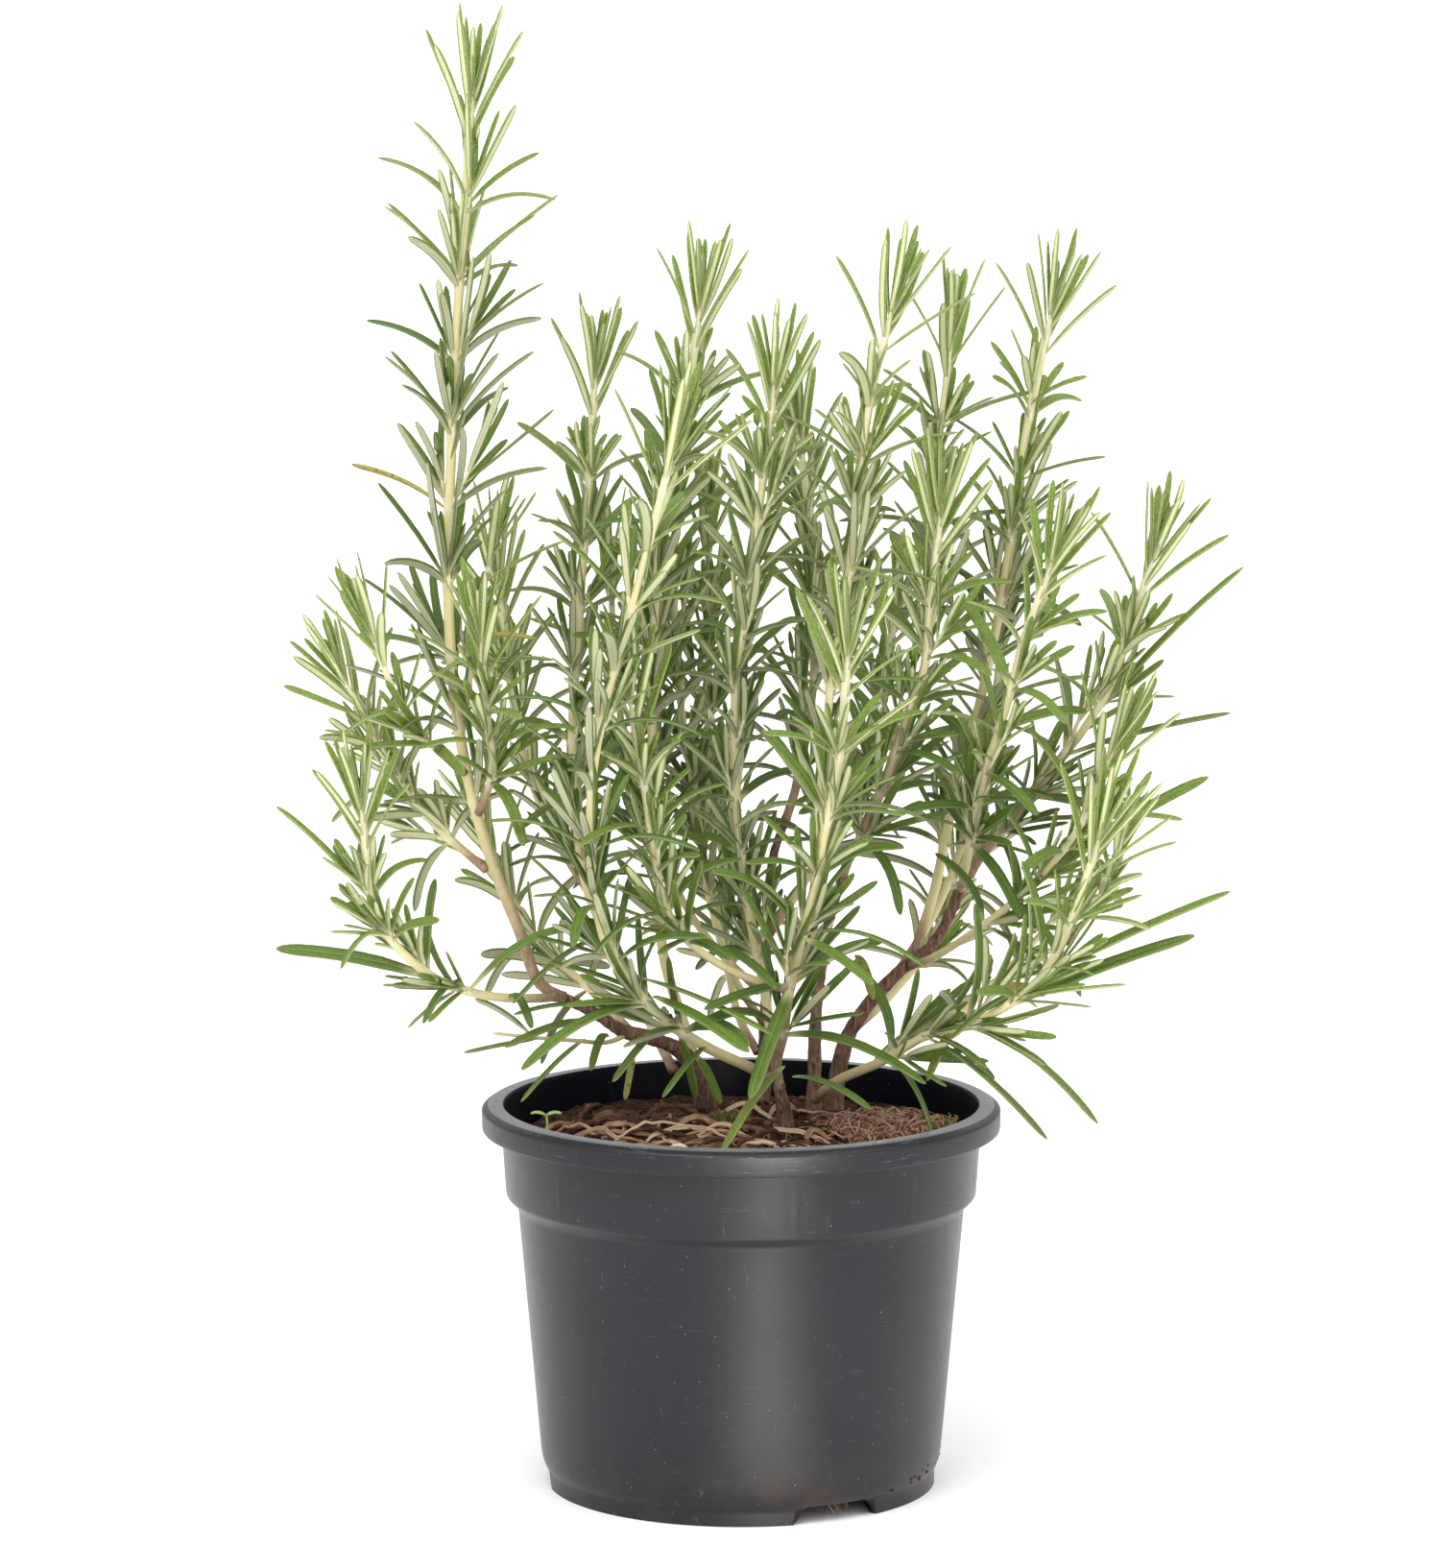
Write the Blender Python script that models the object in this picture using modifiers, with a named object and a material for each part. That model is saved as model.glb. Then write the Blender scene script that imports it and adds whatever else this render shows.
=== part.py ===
"""A rosemary plant in its nursery pot: pot, peat root ball, woody stems, leafy shoots and surface litter.

Metres, +Z up, front towards -Y. Rows marked "mm" are in millimetres, with heights above the pot's rim.
"""

import math
import random

import bmesh
import bpy
import numpy as np
from mathutils import Vector
from mathutils.geometry import interpolate_bezier

MM = 0.001
GAP = 0.3 * MM  # clearance left between pieces that touch
UP = Vector((0, 0, 1))
FRONT = Vector((0, -1, 0))

# Pot: radii are outer ones, heights are above the ground.
POT_HEIGHT = 104 * MM
RIM_RADIUS = 70 * MM
RIM_BAND = 7 * MM
WALL = 1.2 * MM
COLLAR_TOP_RADIUS = 65 * MM
COLLAR_FOOT_RADIUS = 63.3 * MM
COLLAR_HEIGHT = 25 * MM
SHOULDER = 2.5 * MM
BODY_TOP_RADIUS = 60.3 * MM
BODY_FOOT_RADIUS = 54 * MM
FOOT_RADIUS = 52.5 * MM
FOOT_HEIGHT = 5 * MM
FOOT_WIDTH = 1.8 * MM
TURNED_STEPS = 40
GAP_COUNT = 3  # drainage gaps in the foot ring
GAP_BEARING = 29  # degrees from the front towards +X
GAP_ARC = 19
DRAIN_RADIUS = 5 * MM

# Root ball
PEAT_DEPTH = 10 * MM  # from the rim to the peat's edge
PEAT_DOME = 3 * MM
PEAT_RINGS = 5

# Leaves
LEAF_WIDTH = 3.3 * MM
LEAF_THICKNESS = 1.5 * MM
MAIN_BAND = 2.6 * MM  # height of the stem band that a leaf pair grows from
TIP_BAND = 1.5 * MM
TIP_PAIRS = 3
TIP_SPACING = 3.6 * MM
TIP_REACH = 9 * MM  # stem hidden inside the bunch of leaves at its tip
CLEARANCE = 0.45 * MM
STRAIGHT_STEP = 13 * MM  # longest stem stretch without a ring

# Woody stems: points in mm, then the radius at each end in mm.
WOOD = {
    "left_wood": ([(-6, 28, -19), (-9, 28, -8), (-12, 24, 3), (-17, 18, 11), (-24, 13, 15), (-32, 8, 18),
                   (-40, 4, 24), (-49, 0, 29)], 3.1, 1.4),
    "front_wood": ([(13, -1, -18), (12, -2, -6), (10, -4, 6)], 2.4, 1.7),
    "middle_wood": ([(20, 19, -18), (20, 20, 1), (21, 22, 27), (25, 22, 50), (28, 19, 60)], 2.3, 1.2),
    "right_wood": ([(24, 35, -18), (31, 38, 14), (43, 36, 29), (52, 33, 37), (60, 28, 53), (63, 26, 59)],
                   2.8, 1.1),
    "back_wood": ([(6, 46, -18), (7, 50, 20), (7, 52, 41), (9, 55, 58), (13, 58, 70)], 2.1, 1.1),
}

# Shoots: name, stem it carries on from or None for a side shoot, points in mm, radius at base and tip in mm,
# bare length at the base, spacing of the leaf pairs, leaf length in mm, bearing of the first pair in degrees.
SHOOTS = [
    ("front_right", "front_wood", [(11, -12, 20), (13, -22, 36), (16, -29, 50), (19, -34, 62), (21, -38, 76),
                                   (24, -42, 90), (26, -45, 106), (27, -47, 119)], 1.7, 1.2, 18, 16, 30, 35),
    ("left_tall", "left_wood", [(-60, -5, 49), (-69, -8, 74), (-75, -8, 101), (-78, -5, 138), (-77, 0, 178),
                                (-75, 5, 219), (-72, 8, 261)], 1.8, 1.3, 60, 20.5, 29, 50),
    ("left_low", None, [(-48, -1, 29), (-58, -10, 30), (-71, -19, 33), (-85, -27, 41), (-94, -31, 52),
                        (-98, -33, 64), (-99, -34, 77)], 1.5, 1.1, 28, 12, 25, 20),
    ("left_outer", None, [(-69, -7, 65), (-82, 2, 75), (-90, 6, 83), (-97, 10, 95), (-103, 12, 106)],
     1.3, 1.0, 12, 11, 24, 70),
    ("left_fan", None, [(-72, -8, 89), (-84, -20, 102), (-91, -24, 113), (-95, -26, 124)],
     1.2, 0.9, 12, 11, 24, 10),
    ("left_spur", None, [(-75, -8, 101), (-73, -1, 110), (-72, 6, 124), (-70, 10, 135), (-68, 12, 143)],
     1.0, 0.8, 16, 14, 22, 80),
    ("left_inner", None, [(-71, -8, 77), (-66, -18, 93), (-67, -23, 108), (-68, -26, 121)],
     1.2, 0.9, 10, 11, 25, 35),
    ("crown_left", None, [(-19, 21, 6), (-24, 32, 14), (-32, 38, 30), (-42, 40, 51), (-45, 38, 72),
                          (-46, 35, 97), (-44, 32, 129), (-41, 30, 168), (-40, 30, 186)],
     1.6, 1.2, 64, 17, 26, 60),
    ("crown_mid_left", None, [(-10, 27, -5), (-14, 34, 10), (-21, 36, 33), (-23, 34, 60), (-24, 28, 113),
                              (-22, 24, 147), (-19, 22, 166), (-15, 20, 185), (-12, 20, 205)],
     1.7, 1.2, 70, 17, 27, 30),
    ("front_left", None, [(10, -4, 6), (3, -5, 10), (-9, -12, 17), (-21, -22, 27), (-30, -30, 38),
                          (-36, -35, 50), (-39, -38, 68), (-39, -40, 94), (-36, -41, 111), (-30, -41, 133),
                          (-25, -40, 152), (-20, -38, 171)], 1.7, 1.2, 30, 16, 28, 55),
    ("crown_middle", None, [(10, -3, 6), (8, 3, 18), (6, 7, 31), (3, 6, 46), (0, 4, 67), (-2, 3, 99),
                            (-1, 4, 117), (3, 6, 146), (6, 8, 169), (8, 10, 185)], 1.5, 1.1, 32, 15, 26, 45),
    ("back_mid_left", None, [(7, 49, 12), (-2, 38, 28), (-8, 35, 48), (-12, 37, 75), (-16, 38, 100),
                             (-18, 38, 128), (-18, 40, 149)], 1.3, 1.0, 40, 15, 25, 25),
    ("back_middle", None, [(7, 52, 38), (-3, 55, 54), (-8, 56, 73), (-9, 56, 99), (-9, 54, 126), (-9, 52, 145)],
     1.2, 0.9, 26, 15, 25, 75),
    ("front_inner", None, [(12, -20, 34), (0, -20, 38), (-10, -22, 44), (-19, -28, 55), (-23, -31, 72),
                           (-26, -32, 93), (-28, -32, 105)], 1.4, 1.0, 28, 13, 26, 15),
    ("crown_right", None, [(19, -33, 62), (20, -24, 73), (22, -16, 99), (24, -12, 116), (27, -8, 132),
                           (29, -5, 148), (31, -2, 163), (33, 0, 181), (35, 2, 193), (38, 4, 205)],
     1.4, 1.1, 22, 15, 28, 65),
    ("right_inner", "middle_wood", [(31, 15, 67), (37, 8, 82), (44, 0, 104), (49, -4, 120), (50, -6, 135),
                                    (52, -6, 152)], 1.5, 1.1, 12, 15, 27, 40),
    ("right_upper", None, [(49, -3, 119), (52, 16, 134), (53, 32, 158), (54, 34, 178), (56, 34, 196)],
     1.2, 1.0, 18, 15, 26, 70),
    ("right_tall", None, [(47, 35, 33), (53, 42, 50), (58, 40, 75), (65, 36, 103), (70, 33, 128), (74, 30, 155),
                          (77, 28, 178), (82, 27, 203)], 1.6, 1.2, 30, 18, 27, 55),
    ("right_front", None, [(60, 28, 53), (61, 12, 64), (63, -2, 80), (65, -10, 92), (70, -18, 109),
                           (74, -24, 128), (79, -27, 142)], 1.4, 1.0, 24, 14, 26, 30),
    ("right_outer", "right_wood", [(75, 16, 76), (82, 10, 87), (92, 4, 101), (99, 0, 114), (103, -2, 127),
                                   (107, -4, 140)], 1.5, 1.1, 14, 16, 27, 20),
    ("right_side", None, [(46, 35, 31), (54, 20, 37), (62, 11, 44), (74, 2, 55), (84, -6, 67), (91, -10, 78),
                          (96, -12, 91)], 1.3, 1.0, 34, 12, 27, 80),
    ("right_low", None, [(20, 19, -3), (26, 4, 5), (39, -12, 14), (49, -22, 22), (61, -30, 27), (71, -35, 33),
                         (81, -40, 44), (87, -43, 58), (91, -45, 71)], 1.6, 1.1, 40, 13, 29, 45),
    ("right_tip", None, [(84, -41, 49), (93, -36, 59), (98, -33, 71)], 0.9, 0.8, 8, 9, 18, 60),
    ("right_trail", None, [(49, -21, 22), (58, -12, 26), (66, -2, 31), (76, 8, 39), (86, 14, 49)],
     1.1, 0.9, 24, 14, 20, 10),
    ("rear_crown", "back_wood", [(18, 63, 90), (21, 66, 115), (20, 66, 145), (17, 64, 168)],
     1.4, 1.0, 10, 15, 26, 50),
    ("rear_left", None, [(7, 50, 20), (-10, 60, 36), (-26, 67, 66), (-34, 70, 100), (-36, 70, 130)],
     1.4, 1.0, 34, 15, 26, 15),
    ("rear_left_side", None, [(-40, 40, 48), (-53, 50, 68), (-62, 56, 96), (-66, 58, 126)],
     1.3, 1.0, 16, 14, 26, 60),
    ("rear_mid_right", None, [(7, 52, 36), (20, 64, 54), (34, 72, 84), (42, 74, 118)],
     1.4, 1.0, 26, 14, 26, 35),
    ("rear_right", None, [(43, 36, 29), (55, 52, 46), (66, 62, 74), (71, 67, 104), (74, 68, 130)],
     1.4, 1.0, 28, 14, 26, 70),
    ("rear_low", None, [(6, 47, 3), (0, 58, 12), (-3, 70, 22), (-5, 78, 38), (-5, 80, 56)],
     1.4, 1.0, 28, 12, 24, 40),
    ("rear_low_right", None, [(30, 38, 12), (42, 55, 20), (54, 66, 34), (60, 71, 54)],
     1.3, 1.0, 30, 12, 24, 20),
    ("rear_low_left", None, [(-30, 13, 17), (-42, 32, 26), (-58, 48, 38), (-68, 54, 58)],
     1.4, 1.0, 24, 12, 25, 75),
]

# Single leaves that droop or cross the front: shoot, distance along it, tip in mm, width in mm and sag in mm.
SINGLE_LEAVES = [
    ("left_low", 46, (-121, -24, 46), 3.8, 1), ("left_low", 50, (-105, -36, 45), 3.4, 5),
    ("left_low", 24, (-84, -30, 29), 3.4, 5), ("left_low", 14, (-40, -20, 51), 2.6, 6),
    ("left_low", 72, (-121, -28, 84), 2.4, 2), ("front_right", 12, (0, -28, -8), 4.4, 3),
    ("front_right", 20, (-8, -38, 30), 4.4, 4), ("front_right", 22, (46, -34, 14), 4.4, 4),
    ("front_right", 18, (6, -42, 11), 4.4, 3), ("front_right", 52, (46, -54, 48), 3.6, 4),
    ("front_right", 56, (-6, -50, 71), 4.0, 4), ("front_left", 46, (-56, -40, 19), 4.0, 4),
    ("front_left", 36, (0, -46, 25), 4.0, 3), ("front_left", 58, (-54, -46, 73), 3.8, 3),
    ("front_left", 10, (-13, -10, 5), 3.2, 2), ("right_low", 58, (78, -52, 3), 4.2, 3),
    ("right_low", 62, (92, -40, 5), 3.4, 4), ("right_low", 50, (46, -36, 11), 4.0, 2),
    ("right_low", 56, (82, -32, 21), 3.6, 4), ("right_low", 86, (116, -38, 51), 3.8, 1),
    ("right_low", 98, (125, -40, 63), 3.6, 1), ("right_side", 60, (122, -4, 88), 3.4, 2),
    ("right_outer", 44, (128, -2, 106), 3.4, 1), ("right_outer", 66, (131, -6, 144), 2.4, 2),
    ("right_side", 44, (90, -10, 34), 3.4, 4), ("right_trail", 12, (38, -8, 14), 3.6, 1),
]

# Fallen needles and root bits: bearing in degrees from +X, distance from the axis, length, curl and lift in mm.
LITTER_RADIUS = 0.8 * MM
LITTER = [
    ("fallen_needle_1", 196, 36, 34, 7), ("fallen_needle_2", 232, 33, 30, -6),
    ("fallen_needle_3", 247, 48, 28, 8), ("fallen_needle_4", 265, 24, 24, -5), ("root_curl", 165, 44, 16, 9),
]

# Low mounds on the peat: centre, size in x, y and z in mm.
MOUNDS = {
    "fibre_mat": ((41, -3), (19, 15, 5)),
    "moss_front": ((34, -33), (7, 5, 2.5)),
    "moss_right": ((56, 14), (5, 6, 3.5)),
    "moss_back": ((-4, 8), (6, 5, 3)),
}

SEEDLING_FOOT = (-53, -4)  # mm
SEEDLING_HEIGHT = 8 * MM
SEEDLING_RADIUS = 0.5 * MM

COLOURS = {
    "pot": ((0.055, 0.058, 0.064), 0.42),
    "peat": ((0.055, 0.030, 0.018), 0.95),
    "wood": ((0.14, 0.085, 0.062), 0.85),
    "shoot": ((0.17, 0.26, 0.075), 0.55),
    "litter": ((0.42, 0.27, 0.16), 0.85),
    "fibre": ((0.30, 0.16, 0.09), 0.95),
    "moss": ((0.16, 0.22, 0.03), 0.9),
    "seedling": ((0.42, 0.62, 0.20), 0.5),
}


def clear_scene():
    for obj in list(bpy.data.objects):
        bpy.data.objects.remove(obj, do_unlink=True)


def new_collection(name, hidden=False):
    made = bpy.data.collections.new(name)
    bpy.context.scene.collection.children.link(made)
    made.hide_render = hidden
    return made


def material(name):
    found = bpy.data.materials.get(name)
    if found:
        return found
    colour, roughness = COLOURS[name]
    made = bpy.data.materials.new(name)
    made.use_nodes = True
    shader = made.node_tree.nodes["Principled BSDF"]
    shader.inputs["Base Color"].default_value = (*colour, 1)
    shader.inputs["Roughness"].default_value = roughness
    made.diffuse_color = (*colour, 1)
    return made


def add_object(name, data, finish, parent):
    made = bpy.data.objects.new(name, data)
    data.materials.append(material(finish))
    plant.objects.link(made)
    made.parent = parent
    return made


def from_rim(point):
    """A row's point, in mm with its height above the rim, in metres."""
    x, y, height = point
    return Vector((x * MM, y * MM, POT_HEIGHT + height * MM))


def bearing_point(degrees, distance, height=0.0):
    """A point at a bearing from the front towards +X."""
    angle = math.radians(degrees)
    return Vector((distance * math.sin(angle), -distance * math.cos(angle), height))


# ---- curves ----

def smooth_path(points, step=1.0 * MM):
    """Closely spaced points on a curve through the given ones, whose bends suit uneven gaps between them."""
    gaps = [(b - a).length for a, b in zip(points, points[1:])]
    slopes = [(b - a) / gap for a, b, gap in zip(points, points[1:], gaps)]
    turns = [slopes[0]]
    for i in range(1, len(points) - 1):
        turns.append((slopes[i - 1] * gaps[i] + slopes[i] * gaps[i - 1]) / (gaps[i - 1] + gaps[i]))
    turns.append(slopes[-1])
    path = []
    for i, gap in enumerate(gaps):
        count = max(2, round(gap / step))
        leaving = points[i] + turns[i] * gap / 3
        arriving = points[i + 1] - turns[i + 1] * gap / 3
        path += list(interpolate_bezier(points[i], leaving, arriving, points[i + 1], count + 1))[:-1]
    path.append(points[-1].copy())
    return path


class Path:
    """A dense curve that can be read at a distance along it, with a frame that doesn't twist."""

    def __init__(self, points):
        self.points = points
        self.at = [0.0]
        for a, b in zip(points, points[1:]):
            self.at.append(self.at[-1] + (b - a).length)
        self.length = self.at[-1]
        tangent = (points[1] - points[0]).normalized()
        side = FRONT - FRONT.dot(tangent) * tangent
        self.tangents = [tangent]
        self.sides = [side.normalized()]
        for a, b in zip(points[1:], points[2:] + [2 * points[-1] - points[-2]]):
            along = (b - a).normalized()
            turn = self.tangents[-1].rotation_difference(along)
            self.tangents.append(along)
            self.sides.append((turn @ self.sides[-1]).normalized())

    def index(self, distance):
        return min(range(len(self.at)), key=lambda i: abs(self.at[i] - distance))

    def frame(self, distance):
        i = self.index(distance)
        tangent, side = self.tangents[i], self.sides[i]
        side = (side - side.dot(tangent) * tangent).normalized()
        centre = self.points[i] + tangent * (distance - self.at[i])
        return centre, tangent, side, tangent.cross(side)


# ---- room between the pieces ----

class Space:
    """Tapered rods that later pieces keep clear of."""

    def __init__(self):
        self.rods = np.zeros((0, 8))
        self.owners = []

    def add(self, start, end, start_radius, end_radius, owner):
        row = [*start, *end, start_radius, end_radius]
        self.rods = np.vstack([self.rods, row])
        self.owners.append(owner)

    def room(self, start, end, start_radius, end_radius, ignore):
        """The smallest distance between the surfaces of this rod and all the others."""
        if not len(self.rods):
            return 1.0
        p, q = np.array(start), np.array(end)
        a, b = self.rods[:, :3], self.rods[:, 3:6]
        d1, d2, r = q - p, b - a, p - a
        aa, ee = d1 @ d1, np.einsum("ij,ij->i", d2, d2)
        f, c, bb = np.einsum("ij,ij->i", d2, r), r @ d1, d2 @ d1
        spread = np.maximum(aa * ee - bb * bb, 1e-18)
        s = np.clip((bb * f - c * ee) / spread, 0, 1)
        t = np.clip((bb * s + f) / np.maximum(ee, 1e-18), 0, 1)
        s = np.clip((bb * t - c) / max(aa, 1e-18), 0, 1)
        near = np.linalg.norm((p + s[:, None] * d1) - (a + t[:, None] * d2), axis=1)
        own_radii = start_radius + s * (end_radius - start_radius)
        their_radii = self.rods[:, 6] + t * (self.rods[:, 7] - self.rods[:, 6])
        free = near - own_radii - their_radii
        skip = np.array([owner in ignore for owner in self.owners])
        return float(np.where(skip, 1.0, free).min())


def peat_height(x, y):
    reach = min(1.0, math.hypot(x, y) / COLLAR_FOOT_RADIUS)
    return POT_HEIGHT - PEAT_DEPTH + PEAT_DOME * (1 + math.cos(math.pi * reach)) / 2


def add_pot_rim(space):
    """The rim as a ring of rods, so that nothing grows through it."""
    count = 32
    ring = [bearing_point(360 * i / count, RIM_RADIUS - 3.5 * MM, POT_HEIGHT - 3.5 * MM) for i in range(count)]
    for a, b in zip(ring, ring[1:] + ring[:1]):
        space.add(a, b, 4 * MM, 4 * MM, "pot")


# ---- pot and root ball ----

def pot_profile():
    """The wall's section, from the floor up the inside, over the rim, and down the outside to the foot."""
    floor = FOOT_HEIGHT + WALL
    collar_foot = POT_HEIGHT - COLLAR_HEIGHT
    body_top = collar_foot - SHOULDER
    band_foot = POT_HEIGHT - RIM_BAND
    return [
        (0, floor), (BODY_FOOT_RADIUS - 2.5 * MM, floor), (BODY_FOOT_RADIUS - WALL, floor + 2 * MM),
        (BODY_TOP_RADIUS - WALL, body_top), (COLLAR_FOOT_RADIUS - WALL, collar_foot),
        (COLLAR_TOP_RADIUS - WALL, POT_HEIGHT - 0.6 * MM), (COLLAR_TOP_RADIUS - 0.6 * MM, POT_HEIGHT),
        (RIM_RADIUS - 0.8 * MM, POT_HEIGHT), (RIM_RADIUS, POT_HEIGHT - 0.8 * MM),
        (RIM_RADIUS - 0.3 * MM, band_foot), (RIM_RADIUS - 1.4 * MM, band_foot),
        (RIM_RADIUS - 1.2 * MM, POT_HEIGHT - WALL), (COLLAR_TOP_RADIUS, POT_HEIGHT - WALL),
        (COLLAR_FOOT_RADIUS, collar_foot + 0.6 * MM), (COLLAR_FOOT_RADIUS - 0.6 * MM, collar_foot),
        (BODY_TOP_RADIUS, body_top), (BODY_FOOT_RADIUS, FOOT_HEIGHT + 2.5 * MM),
        (BODY_FOOT_RADIUS - 0.9 * MM, FOOT_HEIGHT), (FOOT_RADIUS, FOOT_HEIGHT), (FOOT_RADIUS, 0),
        (FOOT_RADIUS - FOOT_WIDTH, 0), (FOOT_RADIUS - FOOT_WIDTH, FOOT_HEIGHT), (0, FOOT_HEIGHT),
    ]


def turned(name, profile, finish, parent):
    mesh = bpy.data.meshes.new(name)
    mesh.from_pydata([(r, 0, z) for r, z in profile], [(i, i + 1) for i in range(len(profile) - 1)], [])
    made = add_object(name, mesh, finish, parent)
    screw = made.modifiers.new("turn", "SCREW")
    screw.steps = screw.render_steps = TURNED_STEPS
    screw.use_merge_vertices = True
    screw.merge_threshold = 0.00005
    screw.use_smooth_shade = True
    return made


def add_cutter(name, mesh):
    made = bpy.data.objects.new(name, mesh)
    cutters.objects.link(made)
    made.hide_render = True
    made.display_type = "WIRE"
    return made


def cut(target, cutter):
    boolean = target.modifiers.new(cutter.name, "BOOLEAN")
    boolean.operation = "DIFFERENCE"
    boolean.solver = "EXACT"
    boolean.object = cutter


def foot_gap_cutter(i):
    """A wedge, wider at the ground, that opens the foot ring."""
    bm = bmesh.new()
    bmesh.ops.create_cube(bm, size=1)
    half = math.radians(GAP_ARC / 2)
    for v in bm.verts:
        low = v.co.z < 0
        reach = FOOT_RADIUS + (1 if v.co.y < 0 else -1) * 3.5 * MM
        spread = (half * 1.4 if low else half) * reach * (1 if v.co.x > 0 else -1)
        v.co = Vector((spread, -reach, -2 * MM if low else FOOT_HEIGHT - 0.4 * MM))
    bmesh.ops.recalc_face_normals(bm, faces=bm.faces)
    mesh = bpy.data.meshes.new(f"foot_gap_{i}")
    bm.to_mesh(mesh)
    bm.free()
    made = add_cutter(mesh.name, mesh)
    made.rotation_euler.z = math.radians(GAP_BEARING + i * 360 / GAP_COUNT)
    return made


def drain_cutter(i):
    bm = bmesh.new()
    bmesh.ops.create_cone(
        bm, cap_ends=True, segments=12, radius1=DRAIN_RADIUS, radius2=DRAIN_RADIUS, depth=6 * MM
    )
    mesh = bpy.data.meshes.new(f"drain_{i}")
    bm.to_mesh(mesh)
    bm.free()
    made = add_cutter(mesh.name, mesh)
    made.location = bearing_point(GAP_BEARING + i * 360 / GAP_COUNT, 40 * MM, FOOT_HEIGHT + WALL / 2)
    return made


def make_pot(parent):
    pot = turned("pot", pot_profile(), "pot", parent)
    for i in range(GAP_COUNT):
        for cutter in (foot_gap_cutter(i), drain_cutter(i)):
            cutter.parent = parent
            cut(pot, cutter)


def peat_profile():
    """Its top falls from a low dome to the wall, and its side follows the pot's inside."""
    collar_foot = POT_HEIGHT - COLLAR_HEIGHT
    floor = FOOT_HEIGHT + WALL + GAP
    edge = COLLAR_FOOT_RADIUS - WALL - GAP
    top = [(edge * i / PEAT_RINGS, peat_height(edge * i / PEAT_RINGS, 0)) for i in range(PEAT_RINGS + 1)]
    side = [
        (edge, collar_foot), (BODY_TOP_RADIUS - WALL - 2 * GAP, collar_foot - SHOULDER),
        (BODY_FOOT_RADIUS - WALL - 2 * GAP, floor + 3 * MM), (BODY_FOOT_RADIUS - 4 * MM, floor), (0, floor),
    ]
    return top + side


def curve_object(name, points, radii, finish, parent, sides=6):
    data = bpy.data.curves.new(name, "CURVE")
    data.dimensions = "3D"
    data.bevel_depth = 1.0 * MM
    data.bevel_resolution = (sides - 4) // 2
    data.use_fill_caps = True
    spline = data.splines.new("POLY")
    spline.points.add(len(points) - 1)
    for point, co, radius in zip(spline.points, points, radii):
        point.co = (*co, 1)
        point.radius = radius / MM
    return add_object(name, data, finish, parent)


def mesh_from_curve(obj):
    """A curve's tube as a mesh object with welded caps, so that it can cut."""
    graph = bpy.context.evaluated_depsgraph_get()
    mesh = bpy.data.meshes.new_from_object(obj.evaluated_get(graph))
    bm = bmesh.new()
    bm.from_mesh(mesh)
    bmesh.ops.remove_doubles(bm, verts=bm.verts, dist=1e-5)
    bmesh.ops.recalc_face_normals(bm, faces=bm.faces)
    bm.to_mesh(mesh)
    bm.free()
    made = add_cutter(obj.name, mesh)
    made.matrix_world = obj.matrix_world
    bpy.data.objects.remove(obj, do_unlink=True)
    return made


def make_wood(space, parent):
    """The woody stems, and the pockets that their stumps sit in."""
    pockets = []
    for name, (rows, base, end) in WOOD.items():
        path = Path(smooth_path([from_rim(row) for row in rows]))
        count = max(5, round(path.length / (7 * MM)))
        stops = [path.length * i / count for i in range(count + 1)]
        points = [path.frame(stop)[0] for stop in stops]
        radii = [(base + (end - base) * stop / path.length) * MM for stop in stops]
        curve_object(name, points, radii, "wood", parent)
        pocket_radii = [radius + GAP for radius in radii[:4]]
        below = points[0] + GAP * (points[0] - points[1]).normalized()
        pocket = curve_object(f"{name}_pocket", [below] + points[1:4], pocket_radii, "peat", parent)
        pockets.append(mesh_from_curve(pocket))
        for a, b, ra, rb in zip(points, points[1:], radii, radii[1:]):
            space.add(a, b, ra, rb, name)
        ends[name] = (points[-1], (points[-1] - points[-2]).normalized())
    return pockets


def make_root_ball(pockets, parent):
    root_ball = turned("root_ball", peat_profile(), "peat", parent)
    for pocket in pockets:
        pocket.parent = parent
        cut(root_ball, pocket)


# ---- shoots ----

def clear_start(points, radius, space):
    """The path without the first points that would sit inside an earlier stem."""
    for i in range(len(points) - 2):
        along = (points[i + 1] - points[i]).normalized()
        free = 1.0
        for rod in space.rods:
            a, b = Vector(rod[:3]), Vector(rod[3:6])
            share = max(0.0, min(1.0, (points[i] - a).dot(b - a) / (b - a).length_squared))
            to_stem = a + share * (b - a) - points[i]
            if to_stem.length > 12 * MM:
                continue
            lean = 1 - along.dot(to_stem.normalized()) ** 2 if to_stem.length > 1e-9 else 0
            stem_radius = rod[6] + share * (rod[7] - rod[6])
            free = min(free, to_stem.length - stem_radius - radius * math.sqrt(max(0, lean)))
        if free >= GAP:
            return points[i:]
    return points[-2:]


def node_places(length, bare, spacing):
    """Distances of the leaf pairs: even ones up the stem, then close ones at the tip."""
    last = length - TIP_SPACING * (TIP_PAIRS + 0.3)
    bare = min(bare, last - spacing * 0.5)
    count = max(1, round((last - bare) / spacing))
    main = [bare + (last - bare) * i / count for i in range(count + 1)]
    return main + [main[-1] + TIP_SPACING * (i + 1) for i in range(TIP_PAIRS)]


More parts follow.
